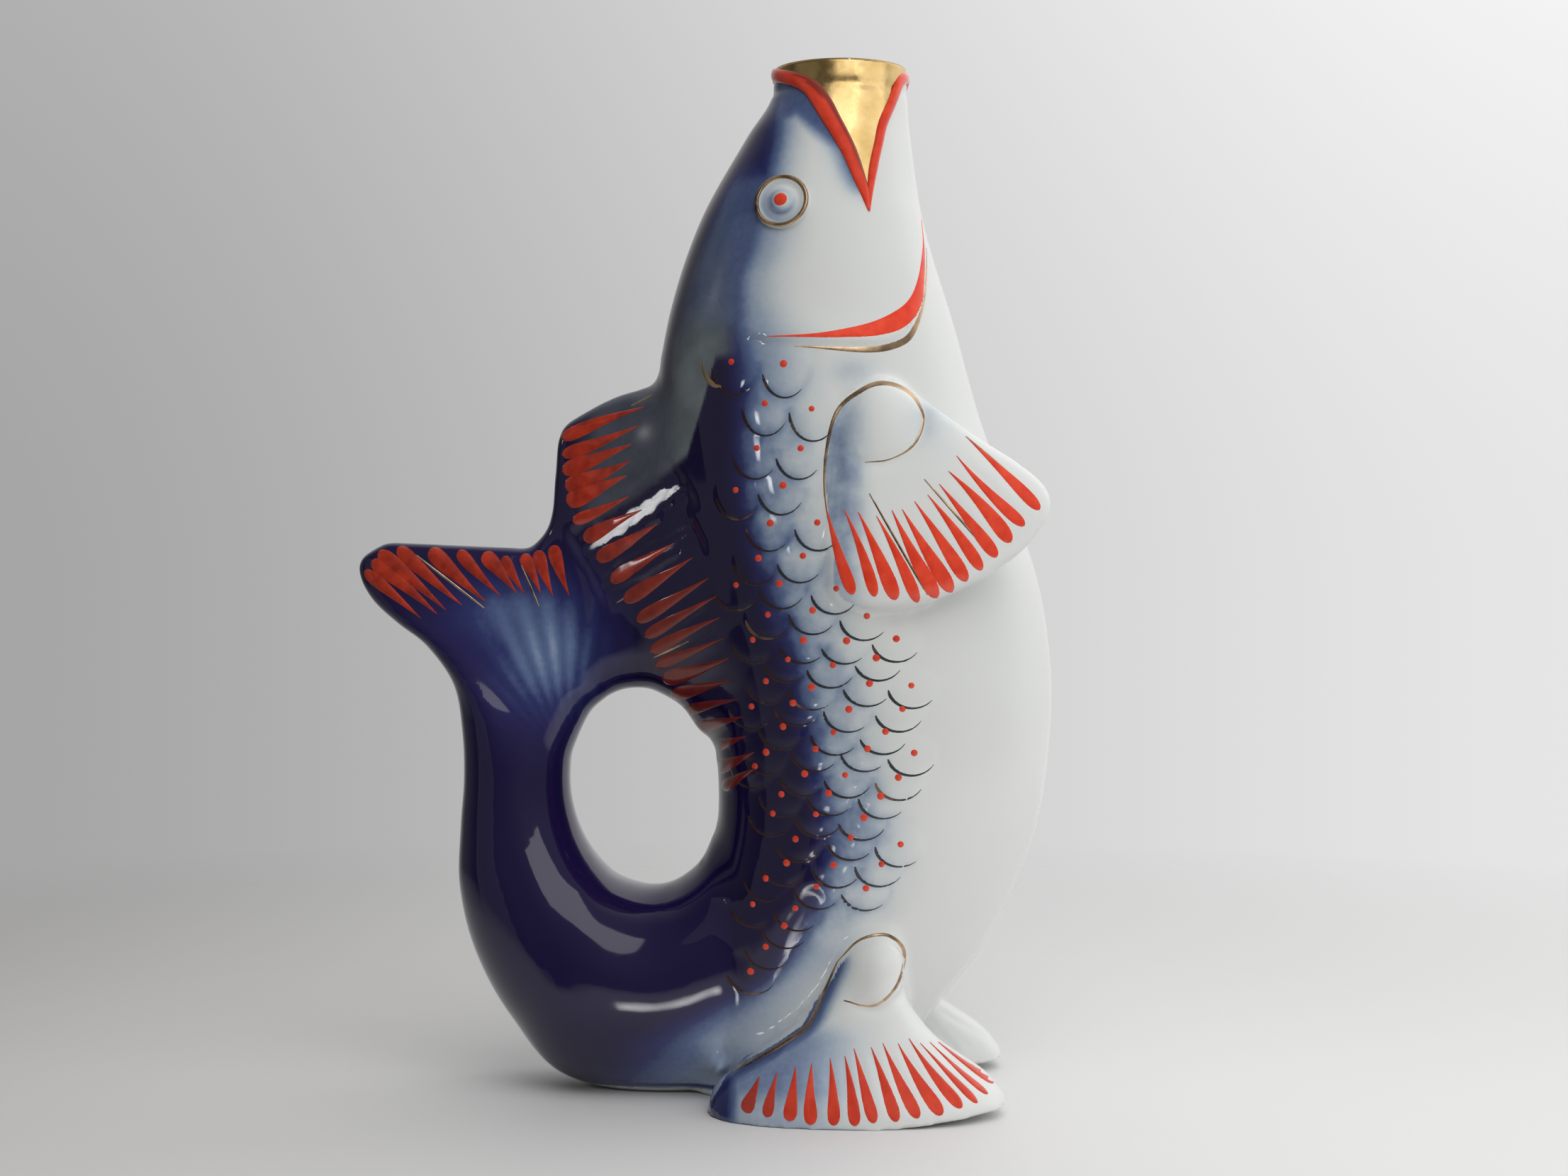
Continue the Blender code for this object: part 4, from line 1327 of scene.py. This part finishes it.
for side in SIDES:
    band = along(GILL_BAND, 48)
    crescent.stroke(crescent.on_trunk(side, 4), band[:, :2], np.maximum(band[:, 2], BAND_LEAST), BAND_LIFT)
    for hit, path, half in (
        (outline.on_trunk(side, 4), GILL_LINE, (0.4, 0.95, 1.0, 0.8, 0.45, 0.3)),
        (outline.from_side(side), PECTORAL_LINE, (0.25, 0.35, 0.4, 0.6, 0.75, 0.65, 0.5, 0.45, 0.35)),
        (outline.from_side(side), PELVIC_LINE, (0.38, 0.48, 0.38)),
        (outline.from_side(side), PELVIC_EDGE, (0.45, 0.55, 0.45)),
        (outline.from_side(side), SHOULDER_LINE, (0.45, 0.6, 0.75, 0.6)),
        *((outline.from_side(side), path, (0.34, 0.34)) for path in FINE_LINES),
    ):
        line = along(path, 8 * len(path))
        spot = np.linspace(0, 1, len(line))
        taper = np.sin(math.pi * (0.04 + 0.92 * spot)) ** 0.35
        outline.stroke(hit, line, np.interp(spot, np.linspace(0, 1, len(half)), half) * taper, LINE_LIFT)
crescent.place("gill_crescents", red, "red_enamel")
outline.place("gold_lines", gold_thin, "gold_lustre")


# Floor, light and camera
FLOOR_CLEAR = 0.24
FLOOR_END = 0.62


def floor_piece():
    """Pale table that fades into the studio's own grey, painted darker to the left as shade of light from
    the right.
    """
    bm = bmesh.new()
    bmesh.ops.create_circle(bm, cap_ends=True, segments=96, radius=FLOOR_END)
    obj = new_object("table", finished(bm, "table"))
    n = Nodes(bpy.data.materials.new("pale_table"))
    place = n.add("TexCoord").outputs["Object"]
    across = n.add("SeparateXYZ", {"Vector": place}).outputs["X"]
    share = n.add("MapRange", {"Value": across, "From Min": -0.3, "From Max": 0.3}).outputs["Result"]
    # Painted shade: the table's grey darkens towards the left, where less light falls
    painted_shade_greys = ((0.0, (0.45, 0.44, 0.43)), (0.62, (0.79, 0.785, 0.78)), (1.0, (0.86, 0.855, 0.85)))
    n.wire("Base Color", n.ramp(share, painted_shade_greys))
    n.wire("Roughness", 0.6)
    far = n.add("VectorMath", {0: place}, operation="LENGTH").outputs["Value"]
    ends = {"Value": far, "From Min": FLOOR_CLEAR, "From Max": FLOOR_END}
    gone = n.add("MapRange", ends).outputs["Result"]
    clear = n.add("BsdfTransparent").outputs["BSDF"]
    mixed = n.add("MixShader", {0: gone, 1: n.shader.outputs["BSDF"], 2: clear}).outputs["Shader"]
    n.give(n.tree.nodes["Material Output"].inputs["Surface"], mixed)
    obj.data.materials.append(n.owner)


def studio_world():
    """Grey room, lighter to the right and above, dim behind the camera and on the far left."""
    n = Nodes(bpy.data.worlds.new("studio"))

    def ranged(value, low, high, to_low, to_high):
        inputs = {"Value": value, "From Min": low, "From Max": high, "To Min": to_low, "To Max": to_high}
        return n.add("MapRange", inputs, interpolation_type="SMOOTHSTEP").outputs["Result"]

    split = n.add("SeparateXYZ", {"Vector": n.add("TexCoord").outputs["Generated"]})
    x, y, z = (split.outputs[axis] for axis in "XYZ")
    level = ranged(x, -0.42, 0.30, 0.37, 0.80)
    for factor in (
        ranged(z, 0.0, 0.5, 1.0, 1.35),
        ranged(y, -0.3, 0.4, 0.22, 1.0),
        ranged(x, -0.85, -0.42, 0.3, 1.0),
    ):
        level = n.math("MULTIPLY", level, factor)
    colour = n.add("CombineColor", {"Red": level, "Green": level, "Blue": level}).outputs["Color"]
    n.give(n.tree.nodes["Background"].inputs["Color"], colour)
    bpy.context.scene.world = n.owner


def area_light(name, azimuth, height, distance, size, radiance, glossy=True, only=(), beam=None):
    """Rectangular soft light aimed at the carafe; azimuth is 0 at the front and grows to the right.

    A beam is the point that a narrow light is aimed at and half its angle.
    """
    a, e = math.radians(azimuth), math.radians(height)
    target = Vector((0, 0, 0.12))
    place = target + distance * Vector((math.sin(a) * math.cos(e), -math.cos(a) * math.cos(e), math.sin(e)))
    data = bpy.data.lights.new(name, "AREA")
    data.shape = "RECTANGLE"
    data.size, data.size_y = size
    data.energy = math.pi * size[0] * size[1] * radiance
    obj = bpy.data.objects.new(name, data)
    obj.location = place
    if beam:
        target, half = Vector(beam[0]), math.radians(beam[1])
        data.spread = 2 * half
        data.energy *= 1 - half / math.tan(half)
    obj.rotation_euler = (target - place).to_track_quat("-Z", "Y").to_euler()
    obj.visible_camera = False
    obj.visible_glossy = glossy
    bpy.context.scene.collection.objects.link(obj)
    if only:
        lit = bpy.data.collections.new("lit_by_" + name)
        for piece in only:
            lit.objects.link(bpy.data.objects[piece])
        obj.light_linking.receiver_collection = lit
        if beam:
            obj.light_linking.blocker_collection = lit


floor_piece()
studio_world()
BODY = "body_casting_skin"
TAIL_SKIN = "tail_casting_skin"
WEB_LIT = ("dorsal_fin_skin", BODY, "dorsal_strokes")
area_light("window", -37, 11, 1.2, (0.085, 0.15), 12, only=(BODY,), beam=((0, -0.03, 0.155), 5.5))
LAMP_LIT = (BODY, TAIL_SKIN)
area_light("lamp", -11.5, -15.6, 1.24, (0.1, 0.1), 8, only=LAMP_LIT, beam=((-0.008, -0.025, 0.026), 3))
area_light("strip", -76.7, 21.1, 1.2, (0.12, 0.12), 11, only=WEB_LIT, beam=((-0.024, -0.012, 0.135), 4))
area_light("glint", -32.5, -19.5, 1.24, (0.11, 0.2), 8, only=(BODY,), beam=((0.013, -0.031, 0.036), 4.5))
FINS_LIT = ("pectoral_fin_right_skin", "pectoral_fin_left_skin", "pectoral_strokes", "gill_crescents")
area_light("fins", 0, 5, 1.4, (1.2, 1.2), 0.7, glossy=False, only=FINS_LIT)
EYE_RINGS = ("eye_right_ring", "eye_left_ring")
PANE_LIT = (TAIL_SKIN, "caudal_fin_skin", "mouth_skin", "gold_lines", *EYE_RINGS)
OVER_CAMERA = (18, 41, 1.6, (1.15, 1.1))
ON_RIGHT = (62, 22, 1.2, (1.1, 0.9))
area_light("pane", *OVER_CAMERA, 1.4, only=PANE_LIT)
area_light("softbox", *ON_RIGHT, 1.0, only=("mouth_skin",))
area_light("side", *ON_RIGHT, 1.3, glossy=False)
area_light("plate", -60, 10, 1.6, (1.2, 1.6), 0.15)
area_light("fill", *OVER_CAMERA, 2.2, glossy=False)
area_light("ceiling", 20, 80, 1.4, (1.2, 1.2), 1.1, glossy=False)
bpy.context.scene.view_settings.view_transform = "Standard"

data = bpy.data.cameras.new("camera")
data.lens = 57.6
data.sensor_width = 36
camera = bpy.data.objects.new("camera", data)
camera.location = (0.0557, -0.6285, 0.125)
camera.rotation_euler = (math.pi / 2, 0, math.radians(4))
bpy.context.scene.collection.objects.link(camera)
bpy.context.scene.camera = camera
